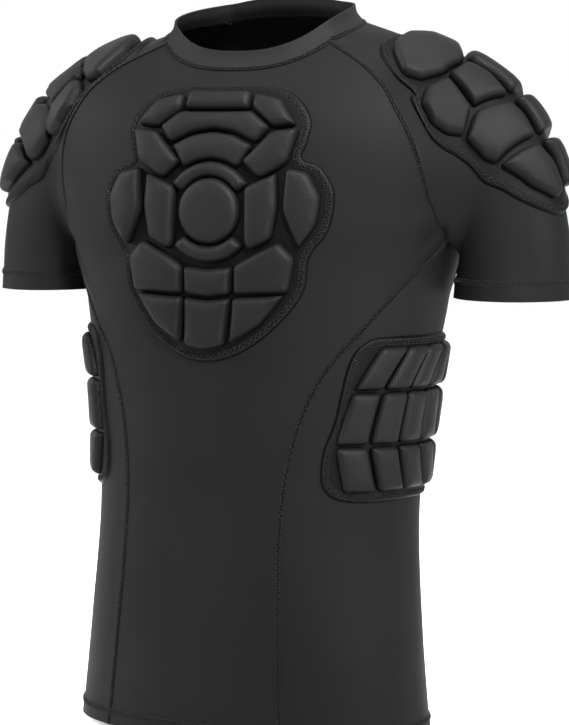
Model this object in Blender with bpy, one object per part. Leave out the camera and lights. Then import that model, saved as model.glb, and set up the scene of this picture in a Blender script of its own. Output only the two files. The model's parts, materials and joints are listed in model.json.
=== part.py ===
"""Padded compression shirt, worn form with no wearer, built as its cut pieces.

Metres, +Z up, front of the shirt toward -Y, wearer's left toward +X.
The origin is where the shirt is held: between the shoulders, level with the neck corners.
"""
import math

import bpy
from mathutils import Vector, geometry

CLOTH_THICKNESS = 0.0015
COLLAR_THICKNESS = 0.0022
SEAM_GAP = 0.0003
LOOP_SEAM_GAP = 0.0005
HEM_Z = -0.665
UNDERARM_Z = -0.195
FRONT_CORNER_Z = -0.008
BACK_CORNER_Z = 0.016
FRONT_NECK_DROP = 0.026
BACK_NECK_RISE = 0.005
COLLAR_HEIGHT = 0.018
COLLAR_LEAN = 0.010

# Torso sections: height, half width, depth to the front and back, centre, squareness
SECTION_COLUMNS = ("z", "half_width", "front", "back", "centre_y", "power")
SECTIONS = (
    (-0.665, 0.182, 0.118, 0.108, -0.030, 2.30),
    (-0.560, 0.172, 0.114, 0.100, -0.026, 2.30),
    (-0.450, 0.164, 0.113, 0.098, -0.018, 2.30),
    (-0.340, 0.168, 0.119, 0.105, -0.008, 2.35),
    (-0.250, 0.180, 0.127, 0.115, 0.000, 2.40),
    (-0.215, 0.187, 0.129, 0.121, 0.002, 2.42),
    (-0.195, 0.197, 0.129, 0.124, 0.003, 2.45),
    (-0.150, 0.208, 0.127, 0.127, 0.004, 2.50),
    (-0.105, 0.218, 0.122, 0.126, 0.006, 2.60),
    (-0.070, 0.222, 0.112, 0.116, 0.008, 2.60),
    (-0.040, 0.222, 0.092, 0.098, 0.010, 2.60),
    (-0.005, 0.214, 0.056, 0.072, 0.010, 2.50),
    (0.025, 0.200, 0.030, 0.040, 0.010, 2.40),
)

# Turn of the hips under the chest, in degrees, by height
HIP_TURN = (
    (-0.665, 9.5), (-0.560, 9.0), (-0.450, 7.5), (-0.350, 4.5), (-0.280, 1.2),
    (-0.240, 0.0), (-0.200, 0.0), (-0.150, 0.0), (0.025, 0.0),
)

# Seam angles around a section, from the panel's centre line, by height
FRONT_SIDE_SEAM = (
    (-0.665, 30), (-0.560, 29), (-0.430, 29), (-0.355, 33),
    (-0.300, 42), (-0.257, 57), (-0.220, 71), (-0.195, 81),
)
BACK_SIDE_SEAM = (
    (-0.665, 40), (-0.560, 40), (-0.430, 41), (-0.355, 45),
    (-0.300, 53), (-0.257, 64), (-0.220, 74), (-0.195, 81),
)
FRONT_RAGLAN = (
    (-0.195, 81), (-0.160, 67), (-0.137, 61), (-0.105, 53), (-0.075, 45), (-0.040, 34), (-0.008, 18.5),
)
BACK_RAGLAN = (
    (-0.195, 81), (-0.160, 69), (-0.137, 63), (-0.105, 54), (-0.075, 46), (-0.040, 35), (0.016, 15),
)

# Sleeve's start: how far its neck edge swings out, where it turns down, how it wraps the arm
NECK_FRONT_PULL = 0.026
NECK_BACK_PULL = 0.021
NECK_SIDE_Y = 0.015
NECK_SIDE_Z = 0.013
UNDERARM_WAY = (0.62, 0.02, -0.78)
UNDERARM_FADE = 3.4
UNDERARM_FADE_POWER = 1.5
WAY_SMOOTHING = 8
SLEEVE_SMOOTHING = 12

# Cuff ring of the wearer's left sleeve
CUFF_CENTRE = (0.246, 0.026, -0.250)
CUFF_RADIUS = 0.056
ARM_AXIS = (-0.01, 0.02, -0.99)
SLEEVE_START_PULL = 0.45
SLEEVE_END_PULL = 0.60
SHOULDER_SLOPE = (0.96, 0.03, -0.24)
SLEEVE_WRAP = 0.62
SLEEVE_WRAP_REACH = 0.070

SIDE_ROWS = 12
RAGLAN_ROWS = 9
FRONT_COLUMNS = 18
BACK_COLUMNS = 12
SIDE_COLUMNS = 12
NECK_SIDE_SPANS = 8
SLEEVE_ROWS = 12
COLLAR_ROWS = 2

# Pads: a sewn-down sheet with raised cells
PAD_LIFT = 0.0011
SHOULDER_PAD_LIFT = 0.0016
PAD_SHEET = 0.0018
CELL_HEIGHT = 0.0100
RIB_CELL_HEIGHT = 0.0075
CELL_DOME = 0.0015
CELL_GROOVE = 0.0022
CELL_SLOPE = 0.0035
PAD_INNER_GRID = 0.014
DOME_GRID = 0.016
PAD_OUTLINE_STEP = 0.009
DOME_MARGIN = 0.005
PAD_INNER_MARGIN = 0.006
OUTLINE_SPANS = 12
# Cell corners: cut back by a share of their edges, unless nearly straight (cosine of the turn)
FOOT_ROUNDING = 0.16
TOP_ROUNDING = 0.20
ROUNDED_CORNER_PULL = 0.28
STRAIGHT_CORNER = 0.85
BISECTOR_FLOOR = 0.35

BOSS_RADIUS = 0.031
BOSS_CORNERS = 16
CHEST_PAD_DROP = 0.146
SHOULDER_PAD_DROP = 0.177
RIB_PAD_RISE = 0.309
RIB_ROW_HEIGHTS = (0.070, 0.025, -0.027, -0.072)
# Lines between the rib pad's slabs: where each crosses the four row heights
RIB_LINE_COLUMNS = ("top", "upper", "lower", "bottom")
RIB_LINES = (
    (-0.060, -0.075, -0.081, -0.068),
    (-0.029, -0.045, -0.049, -0.034),
    (0.001, -0.015, -0.017, -0.002),
    (0.031, 0.015, 0.015, 0.030),
    (0.057, 0.045, 0.047, 0.057),
    (0.076, 0.076, 0.077, 0.076),
)

CLOTH_COLOUR = (0.030, 0.030, 0.032)
RIB_COLOUR = (0.036, 0.036, 0.038)
PAD_COLOUR = (0.020, 0.020, 0.021)
CLOTH_ROUGHNESS = 0.85
PAD_ROUGHNESS = 0.70


def clear_scene():
    for thing in list(bpy.data.objects):
        bpy.data.objects.remove(thing, do_unlink=True)


def smooth_lookup(table, column, at):
    """Cubic through the rows of a table, with the slopes of their neighbours."""
    keys = [row[0] for row in table]
    values = [row[column] for row in table]
    at = min(max(at, keys[0]), keys[-1])
    spot = max(i for i in range(len(keys) - 1) if keys[i] <= at or i == 0)

    def slope(i):
        low, high = max(i - 1, 0), min(i + 1, len(keys) - 1)
        return (values[high] - values[low]) / (keys[high] - keys[low])

    span = keys[spot + 1] - keys[spot]
    t = (at - keys[spot]) / span
    start = (1 + 2 * t) * (1 - t) ** 2 * values[spot] + t * (1 - t) ** 2 * span * slope(spot)
    end = t * t * (3 - 2 * t) * values[spot + 1] - t * t * (1 - t) * span * slope(spot + 1)
    return start + end


def torso_point(angle, z):
    """Point of the torso at an angle from the front centre line (degrees) and a height."""
    width, front, back, centre, power = (
        smooth_lookup(SECTIONS, column, z) for column in range(1, len(SECTION_COLUMNS)))
    sine, cosine = math.sin(math.radians(angle)), math.cos(math.radians(angle))
    x = width * math.copysign(abs(sine) ** (2 / power), sine)
    depth = front if cosine > 0 else back
    y = -depth * math.copysign(abs(cosine) ** (2 / power), cosine)
    turn = math.radians(smooth_lookup(HIP_TURN, 1, z))
    return Vector((x * math.cos(turn) + y * math.sin(turn),
                   centre - x * math.sin(turn) + y * math.cos(turn), z))


def edge_levels(top_z):
    """Heights of a panel's rows along its edge: side seam first, then raglan."""
    side = [HEM_Z + (UNDERARM_Z - HEM_Z) * i / SIDE_ROWS for i in range(SIDE_ROWS)]
    raglan = [UNDERARM_Z + (top_z - UNDERARM_Z) * i / RAGLAN_ROWS for i in range(RAGLAN_ROWS + 1)]
    return side + raglan


def panel_point(across, edge_z, front):
    """Point of the front or back panel: across is -1 to 1, edge_z the height of its row's edge."""
    corner_z = FRONT_CORNER_Z if front else BACK_CORNER_Z
    raglan, seam = (FRONT_RAGLAN, FRONT_SIDE_SEAM) if front else (BACK_RAGLAN, BACK_SIDE_SEAM)
    edge = smooth_lookup(raglan if edge_z > UNDERARM_Z else seam, 1, edge_z)
    centre_top = corner_z - FRONT_NECK_DROP if front else corner_z + BACK_NECK_RISE
    top = centre_top + (corner_z - centre_top) * across * across
    z = HEM_Z + (top - HEM_Z) * (edge_z - HEM_Z) / (corner_z - HEM_Z)
    return torso_point(across * edge if front else 180 - across * edge, z)


def panel_grid(front):
    columns = FRONT_COLUMNS if front else BACK_COLUMNS
    levels = edge_levels(FRONT_CORNER_Z if front else BACK_CORNER_Z)
    steps = [2 * i / columns - 1 for i in range(columns + 1)]
    return [[panel_point(step, level, front) for step in steps] for level in levels]


def side_grid(right=False):
    """Side panel, its columns from left to right as seen from outside."""
    rows = []
    for level in edge_levels(FRONT_CORNER_Z)[:SIDE_ROWS + 1]:
        start = smooth_lookup(FRONT_SIDE_SEAM, 1, level)
        end = 180 - smooth_lookup(BACK_SIDE_SEAM, 1, level)
        angles = [start + (end - start) * i / SIDE_COLUMNS for i in range(SIDE_COLUMNS + 1)]
        row = [torso_point(-angle if right else angle, level) for angle in angles]
        rows.append(row[::-1] if right else row)
    return rows


def neck_side_curve(front_row, back_row):
    """Neck edge of the sleeve: it carries the front neckline on round to the back one."""
    start, end = front_row[-1], back_row[-1]
    leaving = (start - front_row[-2]).normalized()
    arriving = (back_row[-2] - end).normalized()
    first, second = start + leaving * NECK_FRONT_PULL, end - arriving * NECK_BACK_PULL
    points = []
    for i in range(NECK_SIDE_SPANS + 1):
        t = i / NECK_SIDE_SPANS
        points.append(start * (1 - t) ** 3 + first * 3 * t * (1 - t) ** 2
                      + second * 3 * t * t * (1 - t) + end * t ** 3)
    return points


def sleeve_start_loop(front, back, side):
    """Left armhole loop: from the underarm's middle up the front, over the neck, down the back."""
    middle = SIDE_COLUMNS // 2
    top = side[-1]
    forward = [top[i] for i in range(middle, 0, -1)]
    up = [front[r][-1] for r in range(SIDE_ROWS, len(front))]
    down = [back[r][-1] for r in range(len(back) - 1, SIDE_ROWS - 1, -1)]
    neck = neck_side_curve(front[-1], back[-1])
    rear = [top[i] for i in range(SIDE_COLUMNS - 1, middle, -1)]
    return forward + up + neck[1:-1] + down + rear


def start_directions(loop):
    """Way the sleeve cloth leaves each point of its start loop."""
    count = len(loop)
    under = Vector(UNDERARM_WAY).normalized()
    directions = []
    for point in loop:
        height = max((point.z - UNDERARM_Z) / (NECK_SIDE_Z - UNDERARM_Z), 0)
        wrap = SLEEVE_WRAP * min(max((NECK_SIDE_Y - point.y) / SLEEVE_WRAP_REACH, -1), 1)
        outward = Vector((SHOULDER_SLOPE[0], SHOULDER_SLOPE[1] + wrap, SHOULDER_SLOPE[2]))
        blend = max(1 - height * UNDERARM_FADE, 0) ** UNDERARM_FADE_POWER
        directions.append((outward.normalized() * (1 - blend) + under * blend).normalized())
    for _ in range(WAY_SMOOTHING):
        directions = [(directions[i - 1] + directions[i] * 2 + directions[(i + 1) % count]).normalized()
                      for i in range(count)]
    return directions


def cuff_ring(loop):
    """Cuff points matched to the start loop by its length, from the inner side round the front."""
    axis = Vector(ARM_AXIS).normalized()
    inner = Vector((-1, 0, 0))
    inner = (inner - axis * inner.dot(axis)).normalized()
    front = Vector((0, -1, 0))
    front = (front - axis * front.dot(axis)).normalized()
    lengths = [(loop[(i + 1) % len(loop)] - loop[i]).length for i in range(len(loop))]
    total = sum(lengths)
    points, gone = [], 0.0
    for length in lengths:
        turn = 2 * math.pi * gone / total
        around = inner * math.cos(turn) + front * math.sin(turn)
        points.append(Vector(CUFF_CENTRE) + around * CUFF_RADIUS)
        gone += length
    return points


def sleeve_grid(front, back, side):
    """Rows of rings from the armhole loop to the cuff."""
    loop = sleeve_start_loop(front, back, side)
    ways = start_directions(loop)
    cuff = cuff_ring(loop)
    axis = Vector(ARM_AXIS).normalized()
    rows = []
    for r in range(SLEEVE_ROWS + 1):
        t = r / SLEEVE_ROWS
        ring = []
        for start, way, end in zip(loop, ways, cuff):
            reach = (end - start).length
            first = start + way * reach * SLEEVE_START_PULL
            second = end - axis * reach * SLEEVE_END_PULL
            ring.append(start * (1 - t) ** 3 + first * 3 * t * (1 - t) ** 2
                        + second * 3 * t * t * (1 - t) + end * t ** 3)
        for _ in range(round(SLEEVE_SMOOTHING * 4 * t * (1 - t))):
            ring = [(ring[i - 1] + ring[i] * 2 + ring[(i + 1) % len(ring)]) / 4 for i in range(len(ring))]
        rows.append(ring + [ring[0]])
    return rows


def collar_grid(front, back, left_sleeve):
    """Neck band: the neck edge all round, raised and leaning in."""
    neck = [left_sleeve[0][i] for i in range(len(left_sleeve[0]))]
    start = next(i for i, p in enumerate(neck) if (p - front[-1][-1]).length < 1e-6)
    side = neck[start:start + NECK_SIDE_SPANS + 1]
    mirrored = [Vector((-p.x, p.y, p.z)) for p in reversed(side)]
    loop = list(front[-1])[:-1] + side[:-1] + list(reversed(back[-1]))[:-1] + mirrored[:-1]
    centre_y = sum(p.y for p in loop) / len(loop)
    rows = []
    for r in range(COLLAR_ROWS + 1):
        t = r / COLLAR_ROWS
        ring = []
        for point in loop:
            inward = Vector((-point.x, centre_y - point.y, 0)).normalized()
            ring.append(point + Vector((0, 0, COLLAR_HEIGHT * t)) + inward * COLLAR_LEAN * t * (2 - t))
        rows.append(ring + [ring[0]])
    return rows


def mirror_grid(grid):
    """Wearer's right copy, its columns reversed so the outside stays outside."""
    return [[Vector((-p.x, p.y, p.z)) for p in reversed(row)] for row in grid]


def point_key(point):
    return tuple(round(value, 6) for value in point)


def shared_normals(grids):
    """One outward normal for each point, shared by every piece that meets there."""
    sums = {}
    for grid in grids:
        for r in range(len(grid) - 1):
            for c in range(len(grid[0]) - 1):
                corners = [grid[r][c], grid[r][c + 1], grid[r + 1][c + 1], grid[r + 1][c]]
                normal = (corners[2] - corners[0]).cross(corners[3] - corners[1]).normalized()
                for corner in corners:
                    key = point_key(corner)
                    sums[key] = sums.get(key, Vector((0, 0, 0))) + normal
    return {key: value.normalized() for key, value in sums.items()}


def material(name, colour, roughness):
    made = bpy.data.materials.new(name)
    made.use_nodes = True
    shader = made.node_tree.nodes["Principled BSDF"]
    shader.inputs["Base Color"].default_value = (*colour, 1)
    shader.inputs["Roughness"].default_value = roughness
    shader.inputs["Metallic"].default_value = 0.0
    return made


def add_object(name, vertices, faces, colour, roughness):
    mesh = bpy.data.meshes.new(name)
    mesh.from_pydata([tuple(v) for v in vertices], [], faces)
    mesh.update()
    mesh.shade_smooth()
    mesh.set_sharp_from_angle(angle=math.radians(40))
    made = bpy.data.objects.new(name, mesh)
    made.data.materials.append(material(name + "_finish", colour, roughness))
    bpy.context.scene.collection.objects.link(made)
    return made


def border_shift(inner, border, along, normal, gap):
    """Half a gap toward the piece's inside, square to its border and in the cloth's plane."""
    side = normal.cross(along).normalized()
    if side.dot(inner - border) < 0:
        side = -side
    return side * (gap / 2)


def pulled_in(grid, closed, normals, gap):
    """The grid with its border points moved in by half the seam gap."""
    rows, columns = len(grid), len(grid[0])
    moved = [[point.copy() for point in row] for row in grid]
    for r, within in ((0, 1), (rows - 1, rows - 2)):
        for c in range(columns):
            if closed:
                before, after = (c - 1) % (columns - 1), (c + 1) % (columns - 1)
            else:
                before, after = max(c - 1, 0), min(c + 1, columns - 1)
            along = grid[r][after] - grid[r][before]
            normal = normals[point_key(grid[r][c])]
            moved[r][c] += border_shift(grid[within][c], grid[r][c], along, normal, gap)
    if closed:
        return moved
    for c, within in ((0, 1), (columns - 1, columns - 2)):
        for r in range(rows):
            along = grid[min(r + 1, rows - 1)][c] - grid[max(r - 1, 0)][c]
            normal = normals[point_key(grid[r][c])]
            moved[r][c] += border_shift(grid[r][within], grid[r][c], along, normal, gap)
    return moved


def cloth_wall(name, grid, normals, thickness, closed=False, colour=CLOTH_COLOUR):
    """Closed wall: the grid as its inside, the same points moved out as its outside."""
    rows, columns = len(grid), len(grid[0])
    inner = pulled_in(grid, closed, normals, LOOP_SEAM_GAP if closed else SEAM_GAP)
    used = columns - 1 if closed else columns
    vertices = [inner[r][c] for r in range(rows) for c in range(used)]
    count = len(vertices)
    vertices += [inner[r][c] + normals[point_key(grid[r][c])] * thickness
                 for r in range(rows) for c in range(used)]

    def index(r, c, outer):
        return r * used + c % used + (count if outer else 0)

    faces = []

    def add_quad(a, b, c, d):
        """Two triangles that meet on the diagonal from a to c."""
        faces.append([a, b, c])
        faces.append([a, c, d])

    for r in range(rows - 1):
        for c in range(columns - 1):
            for outer in (True, False):
                corners = [index(r, c, outer), index(r, c + 1, outer),
                           index(r + 1, c + 1, outer), index(r + 1, c, outer)]
                add_quad(*(corners if outer else [corners[0], corners[3], corners[2], corners[1]]))
    last = rows - 1
    for c in range(columns - 1):
        add_quad(index(0, c, False), index(0, c + 1, False), index(0, c + 1, True), index(0, c, True))
        add_quad(index(last, c, True), index(last, c + 1, True),
                 index(last, c + 1, False), index(last, c, False))
    if not closed:
        last = columns - 1
        for r in range(rows - 1):
            add_quad(index(r, 0, True), index(r + 1, 0, True), index(r + 1, 0, False), index(r, 0, False))
            add_quad(index(r, last, False), index(r + 1, last, False), index(r + 1, last, True),
                     index(r, last, True))
    return add_object(name, vertices, faces, colour, CLOTH_ROUGHNESS)


class GridSurface:
    """A grid of points read as one surface, with distances along its rows and columns."""

    def __init__(self, grid, normals, lift):
        self.grid = grid
        self.out = [[p + normals[point_key(p)] * lift for p in row] for row in grid]
        self.normals = [[normals[point_key(p)] for p in row] for row in grid]

    def sample(self, row, column):
        """Point and normal at fractional row and column, on the same triangles as the wall."""
        r = min(max(int(row), 0), len(self.grid) - 2)
        c = min(max(int(column), 0), len(self.grid[0]) - 2)
        u, v = row - r, column - c
        if v > u:
            weights = (((r, c), 1 - v), ((r, c + 1), v - u), ((r + 1, c + 1), u))
        else:
            weights = (((r, c), 1 - u), ((r + 1, c), u - v), ((r + 1, c + 1), v))
        point = sum((self.out[i][j] * w for (i, j), w in weights), Vector((0, 0, 0)))
        normal = sum((self.normals[i][j] * w for (i, j), w in weights), Vector((0, 0, 0)))
        return point, normal.normalized()

    def walk_row(self, row, start, distance):
        """Column that lies a distance along a row from the start column."""
        step = 0.25 if distance >= 0 else -0.25
        here, gone = start, 0.0
        point = self.sample(row, here)[0]
        while gone < abs(distance):
            after = self.sample(row, here + step)[0]
            length = (after - point).length
            if gone + length >= abs(distance):
                return here + step * (abs(distance) - gone) / length
            here, point, gone = here + step, after, gone + length
        return here

    def walk_column(self, column, start, distance):
        """Row that lies a distance along a column from the start row."""
        step = 0.25 if distance >= 0 else -0.25
        here, gone = start, 0.0
        point = self.sample(here, column)[0]
        while gone < abs(distance):
            after = self.sample(here + step, column)[0]
            length = (after - point).length
            if gone + length >= abs(distance):
                return here + step * (abs(distance) - gone) / length
            here, point, gone = here + step, after, gone + length
        return here


def sector(inner, outer, start, end, steps=4):
    """Cell between two arcs about the pad's centre, angles in degrees from straight up."""
    def arc(radius, angles):
        return [(radius * math.sin(math.radians(a)), radius * math.cos(math.radians(a))) for a in angles]
    angles = [start + (end - start) * i / steps for i in range(steps + 1)]
    return arc(outer, angles) + arc(inner, list(reversed(angles)))


def sector_ring(radius, corners):
    turns = [2 * math.pi * i / corners for i in range(corners, 0, -1)]
    return [(radius * math.cos(turn), radius * math.sin(turn)) for turn in turns]


def mirrored(cell):
    return [(-x, y) for x, y in reversed(cell)]


def chest_cells():
    """Round boss, two thin arcs, a fan above, blocks beside and below; metres from the boss."""
    middle = [
        sector_ring(BOSS_RADIUS, BOSS_CORNERS),
        sector(0.033, 0.046, -57, 57, 6),
        [(x, -y) for x, y in reversed(sector(0.034, 0.048, -47, 47, 6))],
        sector(0.049, 0.073, -34, 34),
        [(-0.037, 0.092), (0.037, 0.092), (0.056, 0.077), (0.044, 0.063), (0.023, 0.073), (0.0, 0.077),
         (-0.023, 0.073), (-0.044, 0.063), (-0.056, 0.077)],
        [(-0.033, 0.095), (-0.032, 0.112), (0.032, 0.112), (0.033, 0.095)],
        [(-0.023, -0.077), (-0.024, -0.052), (0.0, -0.055), (0.024, -0.052), (0.023, -0.077), (0.0, -0.080)],
        [(-0.020, -0.126), (-0.023, -0.081), (0.0, -0.084), (0.023, -0.081), (0.020, -0.126), (0.0, -0.130)],
    ]
    side = [
        [(0.037, 0.109), (0.036, 0.096), (0.060, 0.077), (0.081, 0.078), (0.064, 0.101)],
        [(0.032, 0.046), (0.050, 0.030), (0.076, 0.044), (0.084, 0.073), (0.060, 0.073), (0.047, 0.060)],
        [(0.037, -0.030), (0.036, 0.022), (0.066, 0.034), (0.068, 0.004), (0.062, -0.026), (0.042, -0.036)],
        [(0.088, -0.034), (0.073, 0.000), (0.076, 0.038), (0.096, 0.033), (0.108, 0.010), (0.104, -0.014)],
        [(0.027, -0.077), (0.027, -0.051), (0.047, -0.040), (0.070, -0.029), (0.084, -0.044),
         (0.078, -0.076)],
        [(0.026, -0.123), (0.026, -0.081), (0.074, -0.079), (0.053, -0.107)],
    ]
    return middle + side + [mirrored(cell) for cell in side]


def chest_outline():
    half = [(0.000, 0.124), (0.042, 0.122), (0.074, 0.108), (0.094, 0.083), (0.093, 0.062), (0.089, 0.047),
            (0.107, 0.038), (0.121, 0.012), (0.116, -0.020), (0.098, -0.044), (0.092, -0.078),
            (0.066, -0.112), (0.034, -0.134)]
    return half + [(0.0, -0.142)] + [(-x, y) for x, y in reversed(half[1:])]


def shoulder_cells():
    """Wide cells from the neck down to the tip, a round one on the chest side, two behind."""
    tab = [(-0.080, 0.134), (-0.070, 0.111), (-0.040, 0.079), (-0.007, 0.061), (0.014, 0.076),
           (0.019, 0.106), (-0.006, 0.128), (-0.040, 0.134)]
    upper = [(-0.038, 0.077), (-0.007, 0.059), (-0.004, 0.037), (-0.009, 0.006), (-0.050, 0.038)]
    chest_side = [(-0.074, 0.109), (-0.041, 0.077), (-0.053, 0.040), (-0.088, 0.054), (-0.112, 0.090),
                  (-0.130, 0.126), (-0.112, 0.131)]
    middle = [(-0.050, 0.036), (-0.013, 0.003), (-0.009, -0.014), (-0.011, -0.040), (-0.062, -0.025),
              (-0.076, 0.002), (-0.088, 0.050)]
    tip = [(-0.012, -0.044), (-0.004, -0.066), (-0.002, -0.092), (-0.012, -0.104), (-0.034, -0.080),
           (-0.060, -0.029)]
    behind_upper = [(-0.005, 0.058), (-0.002, 0.036), (-0.006, 0.007), (0.042, 0.002), (0.050, 0.030),
                    (0.042, 0.060), (0.018, 0.073)]
    behind_middle = [(-0.010, 0.002), (-0.006, -0.014), (-0.008, -0.041), (0.040, -0.040), (0.048, -0.018),
                     (0.044, -0.002)]
    behind_tip = [(-0.009, -0.045), (-0.001, -0.066), (0.001, -0.092), (0.016, -0.096), (0.032, -0.072),
                  (0.038, -0.045)]
    return [tab, upper, chest_side, middle, tip, behind_upper, behind_middle, behind_tip]


def shoulder_outline():
    return [(-0.040, 0.143), (-0.006, 0.138), (0.020, 0.124), (0.030, 0.104), (0.033, 0.084), (0.048, 0.072),
            (0.059, 0.050), (0.062, 0.024), (0.058, -0.010), (0.052, -0.044), (0.044, -0.076), (0.024, -0.106),
            (0.000, -0.117), (-0.021, -0.111), (-0.045, -0.087), (-0.066, -0.052), (-0.085, -0.016),
            (-0.099, 0.030), (-0.116, 0.070), (-0.136, 0.108), (-0.143, 0.130), (-0.128, 0.141),
            (-0.107, 0.137), (-0.094, 0.127), (-0.088, 0.140), (-0.070, 0.144)]


def rib_cells():
    """Three rows of five slabs: leaning, upright, and leaning the other way."""
    heights = RIB_ROW_HEIGHTS
    cells = []
    for left, right in zip(RIB_LINES, RIB_LINES[1:]):
        for i in range(len(RIB_LINE_COLUMNS) - 1):
            cells.append([(left[i], heights[i]), (right[i], heights[i]),
                          (right[i + 1], heights[i + 1]), (left[i + 1], heights[i + 1])])
    return cells


def rib_outline():
    return [(-0.058, 0.078), (0.000, 0.078), (0.060, 0.077), (0.082, 0.066), (0.085, 0.030), (0.083, -0.020),
            (0.085, -0.060), (0.074, -0.079), (0.000, -0.081), (-0.062, -0.080), (-0.086, -0.066),
            (-0.090, -0.034), (-0.084, 0.000), (-0.084, 0.056), (-0.075, 0.073)]


def inset_loop(corners, distance):
    """Corners moved in from both their edges; the loop runs clockwise."""
    count = len(corners)
    moved = []
    for i in range(count):
        here = Vector(corners[i])
        before, after = Vector(corners[i - 1]), Vector(corners[(i + 1) % count])
        edge_in, edge_out = (here - before).normalized(), (after - here).normalized()
        normal_in, normal_out = Vector((edge_in.y, -edge_in.x)), Vector((edge_out.y, -edge_out.x))
        bisector = normal_in + normal_out
        moved.append(here + bisector * distance / max(bisector.length_squared / 2, BISECTOR_FLOOR))
    return moved


def rounded_loop(corners, share):
    """Sharp corners cut back by a share of their edges; nearly straight ones are kept."""
    count = len(corners)
    points = []
    for i in range(count):
        here, before, after = corners[i], corners[i - 1], corners[(i + 1) % count]
        straight = (here - before).normalized().dot((after - here).normalized())
        if straight > STRAIGHT_CORNER:
            points.append(here)
        else:
            pull = (before + after - here * 2) * share * ROUNDED_CORNER_PULL
            points += [here + (before - here) * share, here + pull, here + (after - here) * share]
    return points


def area_of(loop):
    return sum(a[0] * b[1] - a[1] * b[0] for a, b in zip(loop, list(loop[1:]) + [loop[0]])) / 2


def smooth_outline(corners, step):
    """Closed curve through the outline's points, one point every step."""
    count = len(corners)
    dense = []
    for i in range(count):
        a, b, c, d = (Vector(corners[(i + k) % count]) for k in (-1, 0, 1, 2))
        for j in range(OUTLINE_SPANS):
            t = j / OUTLINE_SPANS
            dense.append(0.5 * (b * 2 + (c - a) * t + (a * 2 - b * 5 + c * 4 - d) * t * t
                                + (b * 3 - a - c * 3 + d) * t ** 3))
    lengths = [(dense[(i + 1) % len(dense)] - dense[i]).length for i in range(len(dense))]
    pieces = round(sum(lengths) / step)
    spacing = sum(lengths) / pieces
    points, gone, wanted = [], 0.0, 0.0
    for point, length in zip(dense, lengths):
        if gone + length > wanted and len(points) < pieces:
            points.append(point)
            wanted += spacing
        gone += length
    return points


def inside(loop, point, margin):
    """Whether the point lies in the loop and clear of its edges."""
    crossing = False
    for a, b in zip(loop, list(loop[1:]) + [loop[0]]):
        if (a[1] > point[1]) != (b[1] > point[1]):
            if point[0] < (b[0] - a[0]) * (point[1] - a[1]) / (b[1] - a[1]) + a[0]:
                crossing = not crossing
        nearest = geometry.intersect_point_line(Vector((*point, 0)), Vector((*a, 0)), Vector((*b, 0)))
        spot = min(max(nearest[1], 0), 1)
        if (Vector(a).lerp(Vector(b), spot) - Vector(point)).length < margin:
            return False
    return crossing


def triangulate(loops, extra):
    """Triangles over the outline (first loop) with the other loops as edges."""
    points, edges = [], []
    for loop in loops:
        start = len(points)
        points += [Vector(p) for p in loop]
        edges += [(start + i, start + (i + 1) % len(loop)) for i in range(len(loop))]
    points += [Vector(p) for p in extra]
    found = geometry.delaunay_2d_cdt(points, edges, [], 1, 1e-7)
    if len(found[0]) != len(points):
        raise ValueError("pad loops cross or touch")
    where = [origins[0] for origins in found[3]]
    return points, [[where[i] for i in face] for face in found[2]]


def grid_points(loop, step, margin):
    xs, ys = [p[0] for p in loop], [p[1] for p in loop]
    points = []
    for i in range(int(min(xs) / step) - 1, int(max(xs) / step) + 2):
        for j in range(int(min(ys) / step) - 1, int(max(ys) / step) + 2):
            if inside(loop, (i * step, j * step), margin):
                points.append((i * step, j * step))
    return points


def mirrored_place(place):
    """The same place on the wearer's right."""
    def right_place(x, y):
        point, normal = place(x, y)
        return Vector((-point.x, point.y, point.z)), Vector((-normal.x, normal.y, normal.z))
    return right_place


def pad(name, outline, cells, place, lift=PAD_LIFT, cell_height=CELL_HEIGHT, right=False):
    """Sheet with raised cells over a plain inside; place gives point and normal for pad coordinates."""
    border = smooth_outline(outline, PAD_OUTLINE_STEP)
    if area_of(border) > 0:
        border.reverse()
    loops, heights = [border], [PAD_SHEET] * len(border)
    domes = []
    for cell in cells:
        corners = [Vector(c) for c in cell]
        if area_of(corners) > 0:
            corners.reverse()
        foot = rounded_loop(inset_loop(corners, CELL_GROOVE), FOOT_ROUNDING)
        top = rounded_loop(inset_loop(corners, CELL_GROOVE + CELL_SLOPE), TOP_ROUNDING)
        loops += [foot, top]
        heights += [PAD_SHEET] * len(foot) + [PAD_SHEET + cell_height] * len(top)
        domes += grid_points(top, DOME_GRID, DOME_MARGIN)
    heights += [PAD_SHEET + cell_height + CELL_DOME] * len(domes)
    flat, faces = triangulate(loops, domes)
    lower = grid_points(border, PAD_INNER_GRID, PAD_INNER_MARGIN)
    lower_flat, lower_faces = triangulate([border], lower)
    vertices = []
    for spot, height in zip(flat, heights):
        point, normal = place(spot.x, spot.y)
        vertices.append(point + normal * (lift + height))
    base = len(vertices)
    for spot in lower_flat:
        point, normal = place(spot.x, spot.y)
        vertices.append(point + normal * lift)
    triangles = list(faces) + [[base + i for i in reversed(face)] for face in lower_faces]
    count = len(border)
    for i in range(count):
        after = (i + 1) % count
        triangles.append([i, after, base + after, base + i])
    if right:
        triangles = [list(reversed(face)) for face in triangles]
    return add_object(name, vertices, triangles, PAD_COLOUR, PAD_ROUGHNESS)


def chest_place(front, normals):
    surface = GridSurface(front, normals, CLOTH_THICKNESS)
    centre_row = surface.walk_column(FRONT_COLUMNS / 2, len(front) - 1, -CHEST_PAD_DROP)

    def place(x, y):
        row = surface.walk_column(FRONT_COLUMNS / 2, centre_row, y)
        return surface.sample(row, surface.walk_row(row, FRONT_COLUMNS / 2, x))
    return place


def shoulder_place(sleeve, normals):
    surface = GridSurface(sleeve, normals, CLOTH_THICKNESS)
    middle = (len(sleeve[0]) - 1) / 2
    centre_row = surface.walk_column(middle, 0, SHOULDER_PAD_DROP)

    def place(x, y):
        row = surface.walk_column(middle, centre_row, -y)
        return surface.sample(row, surface.walk_row(row, middle, -x))
    return place


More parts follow.
